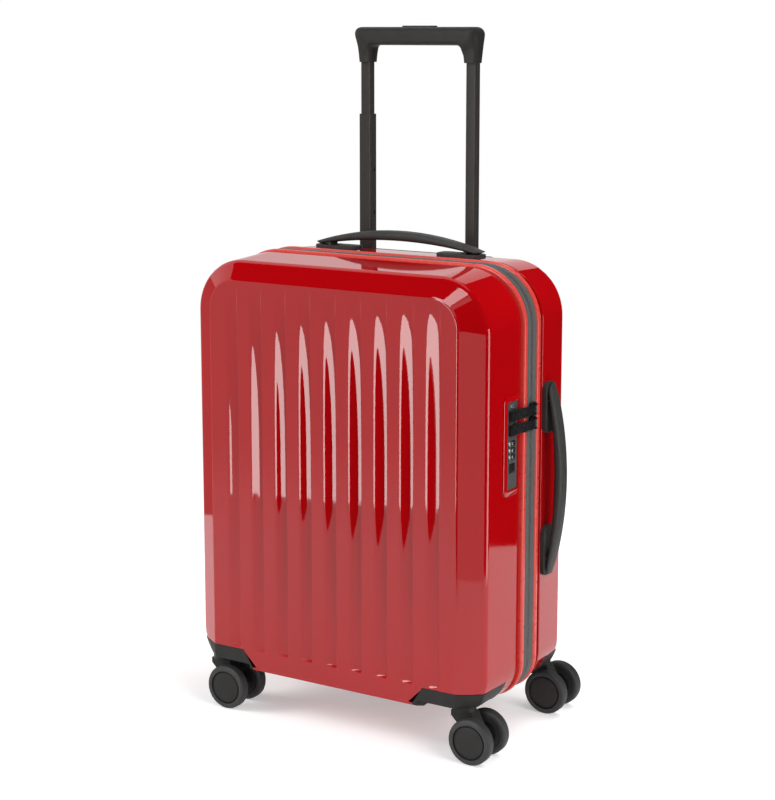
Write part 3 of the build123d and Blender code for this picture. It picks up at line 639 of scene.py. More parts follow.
    def outline(self, panel):
        """The panel's edge once round, the way out at each point, and where it meets the case's outline."""
        sizes = self.sizes
        sides = [panel[0], panel[1:-1, -1], panel[-1, ::-1], panel[-2:0:-1, 0]]
        ring = np.concatenate(sides)
        kind = np.repeat(["bottom", "side", "top", "side"], [len(side) for side in sides])
        kinds = [kind == "bottom", kind == "top"]
        x, z = ring[:, 0], ring[:, 2]
        lower = self.half - self.round_bottom
        upper = self.half - self.round_top
        floor = self.low + self.round_bottom
        ceiling = self.high - self.round_top
        core_x = np.where(kinds[0], np.clip(x, -lower, lower), np.clip(x, -upper, upper))
        core_z = np.where(kinds[0], floor, ceiling)
        way = np.stack([x - core_x, z - core_z], axis=1)
        way = np.where((kind == "side")[:, None], np.stack([np.sign(x), 0 * x], axis=1), way)
        way = way / np.linalg.norm(way, axis=1, keepdims=True)
        low_x = core_x / lower * (LID_HIGH.x - sizes.corner_bottom) + sizes.corner_bottom * way[:, 0]
        high_x = core_x / upper * (LID_HIGH.x - sizes.corner_top) + sizes.corner_top * way[:, 0]
        case_x = np.select(kinds, [low_x, high_x], np.sign(x) * LID_HIGH.x)
        case_low = LID_LOW.z + sizes.corner_bottom
        case_high = LID_HIGH.z - sizes.corner_top
        low_z = case_low + sizes.corner_bottom * way[:, 1]
        high_z = case_high + sizes.corner_top * way[:, 1]
        side_z = case_low + (z - floor) / (ceiling - floor) * (case_high - case_low)
        case_z = np.select(kinds, [low_z, high_z], side_z)
        return ring, way, np.stack([case_x, case_z], axis=1)

    def surface(self):
        """The panel's grid and the rings from its edge to the rim, as one open surface."""
        sizes = self.sizes
        panel = self.panel()
        ring, way, case = self.outline(panel)
        edge = ring[:, [0, 2]]
        groove_end = self.rim + (PIPING_HIGH.y - PIPING_LOW.y) + sizes.groove_width
        floor = case - sizes.groove_depth * way
        stations = (
            (edge, self.depth),
            (edge + self.inset * way, self.depth),
            (case - sizes.wall_taper * way, self.crease),
            (case, groove_end),
            (floor, groove_end),
            (floor, self.rim),
        )
        rings = [in_space(place[:, 0], depth, place[:, 1]) for place, depth in stations]
        crisp_below = 1.0 + self.crisping * np.minimum(way[:, 1:], 0.0)
        panel_edge = (sizes.soft_inside * crisp_below, sizes.soft_outside * crisp_below)
        outer_edge = (sizes.crease_inside, sizes.crease_outside)
        path = eased_path(rings, [panel_edge, outer_edge, *self.groove_rounding])
        turn = np.array([1.0, self.side, 1.0])
        return Surface().grid(panel * turn).grid(np.concatenate([path, path[:, :1]], axis=1) * turn)


class NodeTree:
    """The node tree of a material or a world, filled by short calls."""

    def __init__(self, owner):
        owner.use_nodes = True
        self.nodes = owner.node_tree.nodes
        self.links = owner.node_tree.links

    def feed(self, node, inputs):
        """Give a node its inputs: another node's output is linked, a plain value is set."""
        for socket, value in inputs.items():
            if isinstance(value, bpy.types.NodeSocket):
                self.links.new(value, node.inputs[socket])
            else:
                node.inputs[socket].default_value = value

    def node(self, kind, output, inputs=(), **settings):
        """One output of a new node with its settings and inputs."""
        node = self.nodes.new("ShaderNode" + kind)
        for name, value in settings.items():
            setattr(node, name, value)
        self.feed(node, dict(inputs))
        return node.outputs[output] if output else None

    def seen_rays(self):
        """One for a ray that the camera, a mirror or a glass follows, nought for the rest."""
        path = self.nodes.new("ShaderNodeLightPath").outputs
        seen = path["Is Camera Ray"]
        for kind in ("Is Glossy Ray", "Is Transmission Ray"):
            seen = self.node("Math", "Value", {0: seen, 1: path[kind]}, operation="MAXIMUM")
        return seen


class FinishMaker(NodeTree):
    """A node material: one shader, with patterns in object coordinates or along the piece's UV map."""

    def __init__(self, name, colour, roughness, sockets):
        self.material = bpy.data.materials.new(name)
        super().__init__(self.material)
        self.colour = tuple(colour)
        self.material.diffuse_color = (*colour, 1.0)
        self.shader = self.nodes["Principled BSDF"]
        self.feed(self.shader, {"Base Color": (*colour, 1.0), "Roughness": roughness, **sockets})
        self.where = self.nodes.new("ShaderNodeTexCoord").outputs

    def placed(self, stretch, coordinates="Object"):
        """Coordinates multiplied along their three ways."""
        return self.node("Mapping", "Vector", {"Vector": self.where[coordinates], "Scale": stretch})

    def noise(self, scale, detail, stretch=EVEN):
        """Cloudy noise with so many clouds to the metre."""
        clouds = {"Vector": self.placed(stretch), "Scale": scale, "Detail": detail}
        return self.node("TexNoise", "Fac", clouds)

    def ramp(self, factor, start, dark, end, light):
        """The base colour over a factor: dark up to the start and light from the end."""
        ramp = self.nodes.new("ShaderNodeValToRGB")
        for element, place, colour in zip(ramp.color_ramp.elements, (start, end), (dark, light)):
            element.position = place
            element.color = (*colour, 1.0)
        self.feed(ramp, {"Fac": factor})
        self.feed(self.shader, {"Base Color": ramp.outputs["Color"]})

    def shade(self, by):
        """A darker or lighter share of the base colour."""
        return tuple(min(channel * by, 1.0) for channel in self.colour)

    def mottle(self, scale, darker, lighter, detail=3.0, stretch=EVEN):
        """A base colour that drifts between a darker and a lighter share of itself."""
        self.ramp(self.noise(scale, detail, stretch), 0.3, self.shade(darker), 0.7, self.shade(lighter))

    def gloss(self, scale, low, high, stretch=EVEN):
        """A roughness that drifts between two values."""
        spread = {"Value": self.noise(scale, 4.0, stretch), "From Min": 0.3, "From Max": 0.7}
        rough = self.node("MapRange", "Result", {**spread, "To Min": low, "To Max": high})
        self.feed(self.shader, {"Roughness": rough})

    def bump(self, height, strength, distance):
        """Relief of a height pattern."""
        relief = {"Height": height, "Strength": strength, "Distance": distance}
        self.feed(self.shader, {"Normal": self.node("Bump", "Normal", relief)})

    def weave(self, pitch, strength, distance, darker):
        """Crossed threads: the product of two waves across each other, in the colour and the relief."""
        waves = {}
        for index, way in enumerate("XY"):
            inputs = {"Vector": self.placed(EVEN, "UV"), "Scale": math.pi / 10 / pitch, "Distortion": 0.4}
            waves[index] = self.node("TexWave", "Fac", inputs, wave_type="BANDS", bands_direction=way)
        both = self.node("Math", "Value", waves, operation="MULTIPLY")
        self.ramp(both, 0.0, self.shade(darker), 0.8, self.colour)
        self.bump(both, strength, distance)


def make_finishes(finishes):
    """Every material of the suitcase, by the name of what it covers.

    A grained finish has a mottling (scale, darker, lighter), a gloss (scale, low, high), a grain (scale,
    detail) and the grain's relief (strength, depth). A woven one has its threads' pitch, strength and depth,
    and how dark the gaps between them are. Streaks run along the tubes.
    """
    gloss = finishes.shell_gloss
    streaks = (40.0, 40.0, 1.0)
    grained = {
        "shell": ("red_gloss_shell", finishes.shell, gloss, {"IOR": 1.5},
                  (7.0, 0.95, 1.03), (16.0, gloss * 0.8, gloss * 1.35), (260.0, 2.0), (0.03, 0.0004)),
        "piping": ("red_satin_piping", finishes.piping, 0.28, {"IOR": 1.48},
                   (45.0, 0.97, 1.03), (120.0, 0.26, 0.31), (1600.0, 2.0), (0.02, 0.0002)),
        "teeth": ("grey_zip_teeth", finishes.zip, 0.42, {},
                  (300.0, 0.8, 1.15), (500.0, 0.36, 0.5), None, None),
        "plastic": ("charcoal_grained_plastic", finishes.plastic, 0.5, {"Specular IOR Level": 0.17},
                    (60.0, 0.9, 1.1), (160.0, 0.44, 0.56), (2600.0, 2.0), (0.16, 0.0003)),
        "handle": ("charcoal_soft_handle", finishes.handle, 0.5, {"Specular IOR Level": 0.2},
                   (60.0, 0.92, 1.08), (160.0, 0.45, 0.56), (2400.0, 2.0), (0.14, 0.0003)),
        "tyre": ("dark_tyre_rubber", finishes.tyre, 0.62, {},
                 (80.0, 0.88, 1.12), (140.0, 0.55, 0.7), (1800.0, 3.0), (0.2, 0.0003)),
        "tube": ("dark_anodised_tube", finishes.tube, 0.3, {"Metallic": 0.1, "Specular IOR Level": 0.16},
                 (40.0, 0.93, 1.07, 4.0, (30.0, 30.0, 1.0)), (40.0, 0.28, 0.4, streaks),
                 (60.0, 3.0, streaks), (0.04, 0.0002)),
        "slider": ("black_coated_slider", finishes.slider, 0.3, {"IOR": 1.5},
                   (150.0, 0.85, 1.2), (400.0, 0.24, 0.38), (1500.0, 2.0), (0.06, 0.0003)),
        "lock": ("grey_lock_plastic", finishes.lock, 0.36, {},
                 (90.0, 0.92, 1.08), (200.0, 0.3, 0.42), (2200.0, 2.0), (0.08, 0.0003)),
        "steel": ("bright_turned_steel", finishes.steel, 0.24, {"Metallic": 1.0},
                  (200.0, 0.9, 1.05), (600.0, 0.18, 0.32), (900.0, 3.0, (1.0, 6.0, 6.0)), (0.05, 0.0002)),
        "figures": ("pale_figure_paint", finishes.figures, 0.5, {}, (600.0, 0.92, 1.04), None, None, None),
    }
    woven = {
        "tape": ("grey_zip_weave", finishes.zip, 0.8, (0.15, 0.5), (0.0011, 0.5, 0.0004, 0.55)),
        "lining": ("grey_lining_cloth", finishes.lining, 0.75, (0.3, 0.4), (0.0016, 0.4, 0.0005, 0.7)),
        "strap": ("black_strap_webbing", finishes.strap, 0.7, (0.2, 0.4), (0.0022, 0.7, 0.0008, 0.5)),
    }
    made = {}
    for name, (label, colour, roughness, sockets, mottling, drift, grain, relief) in grained.items():
        maker = FinishMaker(label, colour, roughness, sockets)
        maker.mottle(*mottling)
        if drift:
            maker.gloss(*drift)
        if grain:
            maker.bump(maker.noise(*grain), *relief)
        made[name] = maker.material
    for name, (label, colour, roughness, sheen, threads) in woven.items():
        maker = FinishMaker(label, colour, roughness, dict(zip(("Sheen Weight", "Sheen Roughness"), sheen)))
        maker.weave(*threads)
        made[name] = maker.material
    return made


STORE = {}


def finish(name):
    """A finish by name; all of them are made at the first call."""
    if not STORE:
        STORE.update(make_finishes(bpy.context.scene.suitcase_finishes))
    return STORE[name]


class SUITCASE_OT_shells(Operator):
    """The two fluted shells, with openings for casters, lock and trolley, and the frame round the lock"""

    bl_idname = "suitcase.shells"
    bl_label = "Shells"

    def corner_room(self, fittings, corner):
        """One caster housing's room and a gap: under a level top, beside a slope, out of the middle."""
        low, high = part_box(corner + "_caster_housing")
        gap = fittings.housing_gap
        hand = -1.0 if "left" in corner else 1.0
        end = -1.0 if corner.startswith("front") else 1.0
        inner = (high.x if hand < 0 else low.x) - hand * gap
        near = (high.y if end < 0 else low.y) - end * gap
        top = high.z + gap
        slope = Vector((-hand * (top - LID_LOW.z), 0.0, fittings.housing_slant)).normalized()
        return [
            ((inner, 0.0, LID_LOW.z), slope),
            ((0.0, near, 0.0), (0.0, -end, 0.0)),
            ((0.0, 0.0, top), (0.0, 0.0, 1.0)),
        ]

    def execute(self, context):
        sizes = context.scene.suitcase_sizes
        fittings = context.scene.suitcase_fittings
        tubes = [block_room(*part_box(hand + "_middle_tube"), fittings.tube_gap, 2) for hand in HANDS]
        openings = {"front": [block_room(LOCK_LOW, LOCK_HIGH, LOCK_ROOM, 0)], "rear": tubes}
        for side, half, end, body in HALVES:
            rooms = [self.corner_room(fittings, f"{end}_{hand}") for hand in HANDS]
            name = "fluted_" + half
            mesh = cut_away(Shell(sizes, side).surface().mesh(name), rooms + openings[end])
            obj = dress(name, mesh, "shell", body, [end + "_shell"], CRISP)
            thicken(obj, sizes.wall)
        self.surround(fittings)
        return {"FINISHED"}

    def surround(self, fittings):
        """The frame round the lock: rounded rectangles in one another, up from the wall and down to it.

        Towards the zip the frame is narrower, so that it ends before the groove.
        """
        stand = fittings.surround_stand
        wide = fittings.surround_width
        narrowing = 0.66
        rise = [[0.0004, -0.003], [0.0004, stand - 0.0006], [0.0006, stand - 0.0002], [0.001, stand]]
        fall = [[0.0016, stand], [0.0022, stand - 0.0001], [wide * 0.9, 0.0001]]
        foot = [[wide, -0.00025], [wide, -0.0012]]
        profile = closed(np.array(rise + fall + foot))
        middle = (LOCK_LOW + LOCK_HIGH) / 2
        half = (LOCK_HIGH - LOCK_LOW) / 2
        loop, way = block_loop(half.y, half.z, 0.0016, 10)
        to_zip = np.where(way[:, :1] > 0, 1.0 - narrowing * way[:, :1] ** 2, 1.0)
        place = loop[None] + profile[:, None, :1] * (way * to_zip)[None]
        points = in_space(LID_HIGH.x + profile[:, 1:], middle.y + place[..., 0], middle.z + place[..., 1])
        dress("lock_surround", Surface().grid(points).mesh("lock_surround"), "shell", "lid")


class SUITCASE_OT_zip(Operator):
    """Piping, zip tapes with their teeth, the two sliders and their pull tabs"""

    bl_idname = "suitcase.zip"
    bl_label = "Piping and zip"

    def teeth(self, sizes, side):
        """Teeth set evenly round the case: a small block with a rounded head, the same at every place."""
        at, out = spread_round(sizes, sizes.tooth_pitch, 0.25 if side < 0 else 0.75)
        along = np.stack([-out[:, 1], out[:, 0]], axis=1)
        half = sizes.tooth_pitch * 0.3
        base = sizes.tape_stand - 0.0005
        crown = sizes.tooth_stand - 0.0001
        shoulder = sizes.tooth_stand - 0.0006
        left = np.array([[-half, base], [-half, shoulder], [-half / 2, crown]])
        ring = np.concatenate([left, left[::-1] * (-1.0, 1.0)])
        ends = (0.00018, 0.0008, 0.0026, 0.003)  # sections of a tooth, from the middle of the zip
        lifts = (0.82, 1.0, 1.0, 0.7)  # how much of its height each section has
        corners = np.concatenate(
            [in_space(ring[:, 0], end, base + (ring[:, 1] - base) * lift) for end, lift in zip(ends, lifts)]
        )
        sideways = corners[None, :, :1] * along[:, None, :]
        outwards = corners[None, :, 2:] * out[:, None, :]
        spot = at[:, None, :] + sideways + outwards
        cloud = in_space(spot[..., 0], side * corners[None, :, 1], spot[..., 1])
        index = np.arange(len(corners)).reshape(len(ends), len(ring))
        beside = np.roll(index, -1, axis=1)
        sides = np.stack([index[:-1], beside[:-1], beside[1:], index[1:]], axis=-1).reshape(-1, 4)
        return Surface().copies(cloud, [*sides.tolist(), index[0, ::-1].tolist(), index[-1].tolist()])

    def bead(self, sizes):
        """The piping's section: a half round of power 2.7 on a foot that goes down to the groove's floor."""
        turn = np.linspace(0.0, math.pi, 21)
        power = 0.75
        half = sizes.bead_width / 2
        out = sizes.bead_stand - sizes.bead_height + sizes.bead_height * np.sin(turn) ** power
        along = sizes.tape_width + half - half * bent(np.cos(turn), power)
        floor = -sizes.groove_depth
        foot = [[floor, sizes.tape_width + sizes.bead_width], [floor, sizes.tape_width]]
        return closed(np.concatenate([np.stack([out, along], axis=1), foot]))

    def tape(self, sizes):
        """A zip tape's section: a flat band, crowned beside the teeth and let in under the piping."""
        top = sizes.tape_stand
        wide = sizes.tape_width
        under = top - 0.0018
        start = 0.00025
        end = wide + 0.0003
        crown = [[top - 0.0003, start], [top - 0.0001, 0.001], [top, 0.0035], [top + 0.0001, wide * 0.6]]
        edge = [[top, wide * 0.9], [top - 0.0004, end], [under, end], [under, start]]
        return closed(np.array(crown + edge))

    def execute(self, context):
        sizes = context.scene.suitcase_sizes
        bands = (
            ("piping", self.bead(sizes), "piping", "piping_red"),
            ("zip_tape", self.tape(sizes), "tape", "zip_grey"),
        )
        for side, half, end, body in HALVES:
            for kind, profile, cover, slot in bands:
                surface = Surface().grid(carried_round(sizes, profile, side))
                dress(f"{half}_{kind}", surface.mesh(kind), cover, body, [f"{end}_{kind}"])
            dress(half + "_zip_teeth", self.teeth(sizes, side).mesh("teeth"), "teeth", body)
        for place in ("upper", "lower"):
            eased_copy(place + "_zip_slider", "slider", 0.0005)
            eased_copy(place + "_pull_tab", "slider", 0.0006, widened)
        return {"FINISHED"}


class SUITCASE_OT_casters(Operator):
    """Caster housings and forks, and the wheel pairs with tyres, hubs and axles"""

    bl_idname = "suitcase.casters"
    bl_label = "Casters"

    def tyre(self, fittings, radius, inner):
        """A tyre's section: flat sides, round shoulders, a tread with a slight dip, and a bore."""
        half = fittings.wheel_width / 2
        r = fittings.wheel_shoulder
        turn = np.linspace(0.0, math.pi / 2, 8)
        lip = [[inner, half - 0.0012], [inner + 0.0004, half]]
        shoulder = np.stack([radius - r + r * np.sin(turn), half - r + r * np.cos(turn)], axis=1)
        dip = [[radius - 0.00015, 0.0003]]
        outer = np.concatenate([lip, shoulder, dip])
        return closed(np.concatenate([outer, outer[::-1] * (1.0, -1.0)]))

    def hub(self, fittings, radius):
        """A hub's section: a low domed cap, a ring groove at its rim, a bore rim and a dished inner side."""
        half = fittings.wheel_width / 2
        bore = 0.0031
        sweep = np.linspace(0.0, 1.0, 10)
        cap = np.stack([sweep * (radius - 0.0016), half - 0.0002 - 0.0007 * sweep**4], axis=1)
        groove = [[radius - 0.0012, half - 0.0014], [radius - 0.001, half - 0.0022], [radius, half - 0.0023]]
        rim = [[radius, 0.0006 - half], [radius - 0.0015, 0.0001 - half], [radius * 0.72, 0.0003 - half]]
        dish = [[radius * 0.62, 0.0022 - half], [radius * 0.36, 0.0022 - half], [radius * 0.34, -half]]
        return np.concatenate([cap, groove, rim, dish, [[bore, -half], [bore, 0.004 - half]]])

    def execute(self, context):
        fittings = context.scene.suitcase_fittings
        hub_radius = (HUB_HIGH.z - HUB_LOW.z) / 2
        tyre = self.tyre(fittings, (WHEEL_HIGH.z - WHEEL_LOW.z) / 2, hub_radius)
        hub = self.hub(fittings, hub_radius - 0.0002)
        for corner in CORNERS:
            low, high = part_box(corner + "_wheel_tyres")
            middle = (low + high) / 2
            offset = (high.y - low.y - fittings.wheel_width) / 2
            for kind, section, segments, cover, slot, sharp in (
                ("tyres", tyre, 96, "tyre", "tyre_rubber", 50.0),
                ("hubs", hub, 72, "plastic", "black_plastic", 40.0),
            ):
                pair = Surface()
                for outward in (-1.0, 1.0):
                    centre = (middle.x, middle.y + outward * offset, middle.z)
                    pair.grid(turned(section, centre, outward, segments))
                name = f"{corner}_{kind}"
                nodes = [f"{corner}_wheel_{kind}"]
                dress(name, pair.mesh(kind), cover, corner + "_wheels", nodes, sharp)
            eased_copy(corner + "_caster_fork", "plastic", 0.0006)
            eased_copy(corner + "_caster_housing", "plastic", 0.0007, drawn_in)
            eased_copy(corner + "_wheel_axle", "steel", 0.0003)
        for end in ("front", "rear"):
            eased_copy(end + "_housing_screws", "steel")
        return {"FINISHED"}


class SUITCASE_OT_trolley(Operator):
    """The telescopic trolley: grip, button, tubes, collar and foot"""

    bl_idname = "suitcase.trolley"
    bl_label = "Trolley"

    bar_overhang = 0.0015  # past the construction's grip at each end
    bar_thickness = 0.0212
    bar_forward = 0.005  # in front of the construction's grip
    leg_inside = (0.0215, 0.0195)  # in from the construction's end, at the bar and at the foot
    foot_inset = 0.0026
    cheek = 0.0047  # of a leg, in front of its tube and behind it
    deepening = (0.0125, 0.029)  # heights above the foot between which a leg gets the bar's depth
    rounding = (0.0085, 0.006)  # of the grip's corners, outside and inside
    power = 2 / 3.6

    def outline(self, side, foot, top, low, corner):
        """Points from foot to foot: up the left leg, round a quarter circle, across, down the right leg."""
        turn = np.linspace(math.pi, math.pi / 2, 9)
        up = np.linspace(0.0, 1.0, 6)[:-1]
        x = np.concatenate([-foot + (foot - side) * up, corner - side + corner * np.cos(turn)])
        z = np.concatenate([low + (top - corner - low) * up, top - corner + corner * np.sin(turn)])
        return np.stack([np.append(x, -x[::-1]), np.append(z, z[::-1])], axis=1)

    def grip(self):
        """The grip as a grid: from foot to foot, a superellipse of power 3.6 between two outlines."""
        low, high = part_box("trolley_grip")
        outside, inside = self.rounding
        bar_end, foot = (high.x - inset for inset in self.leg_inside)
        outer = self.outline(high.x + self.bar_overhang, high.x - self.foot_inset, high.z, low.z, outside)
        inner = self.outline(bar_end, foot, high.z - self.bar_thickness, low.z, inside)
        middle = (outer + inner) / 2
        reach = (outer - inner) / 2
        turn = np.linspace(0.0, 2 * math.pi, 49)
        place = middle[:, None, :] + reach[:, None, :] * bent(np.cos(turn), self.power)[None, :, None]
        leg_half = (LEG_HIGH.y - LEG_LOW.y) / 2 + self.cheek
        bar_half = (high.y - low.y + self.bar_forward) / 2
        height = middle[:, 1] - low.z
        half_depth = np.interp(height, self.deepening, [leg_half, bar_half])[:, None]
        forward = np.interp(height, self.deepening, [0.0, self.bar_forward / 2])[:, None]
        depth = (low.y + high.y) / 2 - forward + half_depth * bent(np.sin(turn), self.power)[None, :]
        return Surface().tube(in_space(place[..., 0], depth, place[..., 1]))

    def execute(self, context):
        room = block_room(*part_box("grip_button"), 0.0004, 2)
        grip = cut_away(self.grip().mesh("rounded_grip"), [room])
        dress("rounded_grip", grip, "plastic", "trolley", ["trolley_grip"], 50.0)
        eased_copy("grip_button", "slider", 0.0004)
        for node in ("inner_tubes", "left_middle_tube", "right_middle_tube", "trolley_outer_tubes"):
            eased_copy(node, "tube", 0.0002)
        eased_copy("release_rods", "steel", 0.0002)
        eased_copy("trolley_collar", "plastic", 0.0004, pressed_down)
        eased_copy("trolley_foot", "plastic", 0.0008)
        return {"FINISHED"}


class SUITCASE_OT_handles(Operator):
    """The top and the side carry handle on their mounts"""

    bl_idname = "suitcase.handles"
    bl_label = "Carry handles"

    neck = (0.002, 0.008, 0.0012)  # half width along the handle, half width across it, and rounding
    neck_top = 0.011  # above the shell
    tip_drop = 0.0028  # underside's ends below the tips
    end_share = 0.2  # of half the length, over which the width draws in
    end_loss = 0.42  # of the width, at the tips
    scales = {"top": (1.0, 1.0, 1.0), "side": (0.98, 1.0, 0.92)}  # along, across and out from the shell

    def bow(self, x, half, tip, crest):
        """Height over x of a flat circular arc: the tip's height at both ends, the crest's in the middle."""
        rise = crest - tip
        radius = (half**2 + rise**2) / (2 * rise)
        return crest - radius + np.sqrt(radius**2 - x**2)

    def grip(self, fittings):
        """A bowed grip as a grid: at each place along it, a rounded section from its underside to its top.

        The section is a superellipse of power 3.4 across and 2.6 upright. The width draws in towards the tips
        by a power of the place in the last fifth, and the thickness runs out there.
        """
        half = (HANDLE_HIGH.x - HANDLE_LOW.x) / 2
        crest = HANDLE_HIGH.z - LID_HIGH.z
        width = (HANDLE_HIGH.y - HANDLE_LOW.y) / 2
        short = half - fittings.handle_slant
        x = half * np.sin(np.linspace(-math.pi / 2, math.pi / 2, 65))[:, None]
        top = self.bow(x, half, fittings.handle_tip, crest)
        low_tip = fittings.handle_tip - self.tip_drop
        under = self.bow(np.clip(x, -short, short), short, low_tip, crest - fittings.handle_thickness)
        beyond = np.clip((np.abs(x) - short) / (half - short), 0.0, 1.0)
        under = under + (top - under) * beyond**1.6
        draw = np.clip((np.abs(x) - half * (1.0 - self.end_share)) / (half * self.end_share), 0.0, 1.0)
        wide = width * (1.0 - self.end_loss * draw**2.2) * np.sqrt(np.clip(1.0 - beyond**6, 0.0, 1.0))
        turn = np.linspace(0.0, 2 * math.pi, 41)
        across = bent(np.cos(turn), 2 / 3.4)
        upright = bent(np.sin(turn), 2 / 2.6)
        return in_space(x, wide * across, (top + under) / 2 + (top - under) / 2 * upright)

    def execute(self, context):
        """Make each handle along, across and out from the shell; the side one's axes then change round."""
        grip = self.grip(context.scene.suitcase_fittings)
        neck = block_loop(*self.neck, 4)[0]
        for name, order in (("top", 1), ("side", -1)):
            box = (*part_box(name + "_handle_grip"), LID_HIGH)
            low, high, shell = (np.array(corner)[::order] for corner in box)
            middle = (low + high) / 2
            origin = np.array([middle[0] if order < 0 else 0.0, middle[1], shell[2]])
            surface = Surface().grid(grip * self.scales[name])
            for end in (-1.0, 1.0):
                at = neck + (end * ((high[0] - low[0]) / 2 - NECK_INSET), 0.0)
                heights = (low[2] - shell[2], self.neck_top)
                surface.tube(np.stack([in_space(*at.T, height) for height in heights]))
            surface.points = [(points + origin)[:, ::order] for points in surface.points]
            mesh = surface.mesh("handle")
            nodes = [name + "_handle_grip"]
            dress(name + "_carry_handle", mesh, "handle", name + "_handle", nodes, 50.0)
            eased_copy(name + "_handle_mounts", "handle", 0.0011)
        return {"FINISHED"}


class SUITCASE_OT_lock(Operator):
    """The lock: case, three dials with figures, release button and key cylinder"""

    bl_idname = "suitcase.lock"
    bl_label = "Lock"

    def figure(self, text, height):
        """One figure as flat points and faces, centred, made from Blender's own text."""
        curve = bpy.data.curves.new("figure", "FONT")
        curve.body = text
        curve.size = height * 1.45
        curve.align_x = "CENTER"
        curve.align_y = "CENTER"
        curve.resolution_u = 3
        obj = bpy.data.objects.new("figure", curve)
        bpy.context.scene.collection.objects.link(obj)
        mesh = evaluated(obj)
        bpy.data.objects.remove(obj)
        return numbers(mesh.vertices, "co", 3), [list(polygon.vertices) for polygon in mesh.polygons]

    def execute(self, context):
        fittings = context.scene.suitcase_fittings
        eased_copy("lock_case", "lock", 0.0004)
        eased_copy("lock_button", "slider", 0.0005)
        eased_copy("key_cylinder", "steel", 0.0003)
        eased_copy("lock_spindle", "steel", 0.0002)
        figures = [self.figure(str(number), fittings.figure_height) for number in range(10)]
        film = 0.00004
        for place in ("lower", "middle", "upper"):
            node = place + "_lock_dial"
            eased_copy(node, "slider", 0.0003)
            low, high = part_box(node)
            centre = (low + high) / 2
            radius = (high.x - low.x) / 2 + film
            marks = Surface()
            for number, (points, faces) in enumerate(figures):
                angle = 2 * math.pi * number / 10 + points[:, 0] / radius
                x = centre.x + radius * np.cos(angle)
                y = centre.y + radius * np.sin(angle)
                marks.copies(in_space(x, y, centre.z + points[:, 1])[None], faces)
            mesh = marks.mesh("figures")
            dress(place + "_dial_figures", mesh, "figures", place + "_dial")
        return {"FINISHED"}


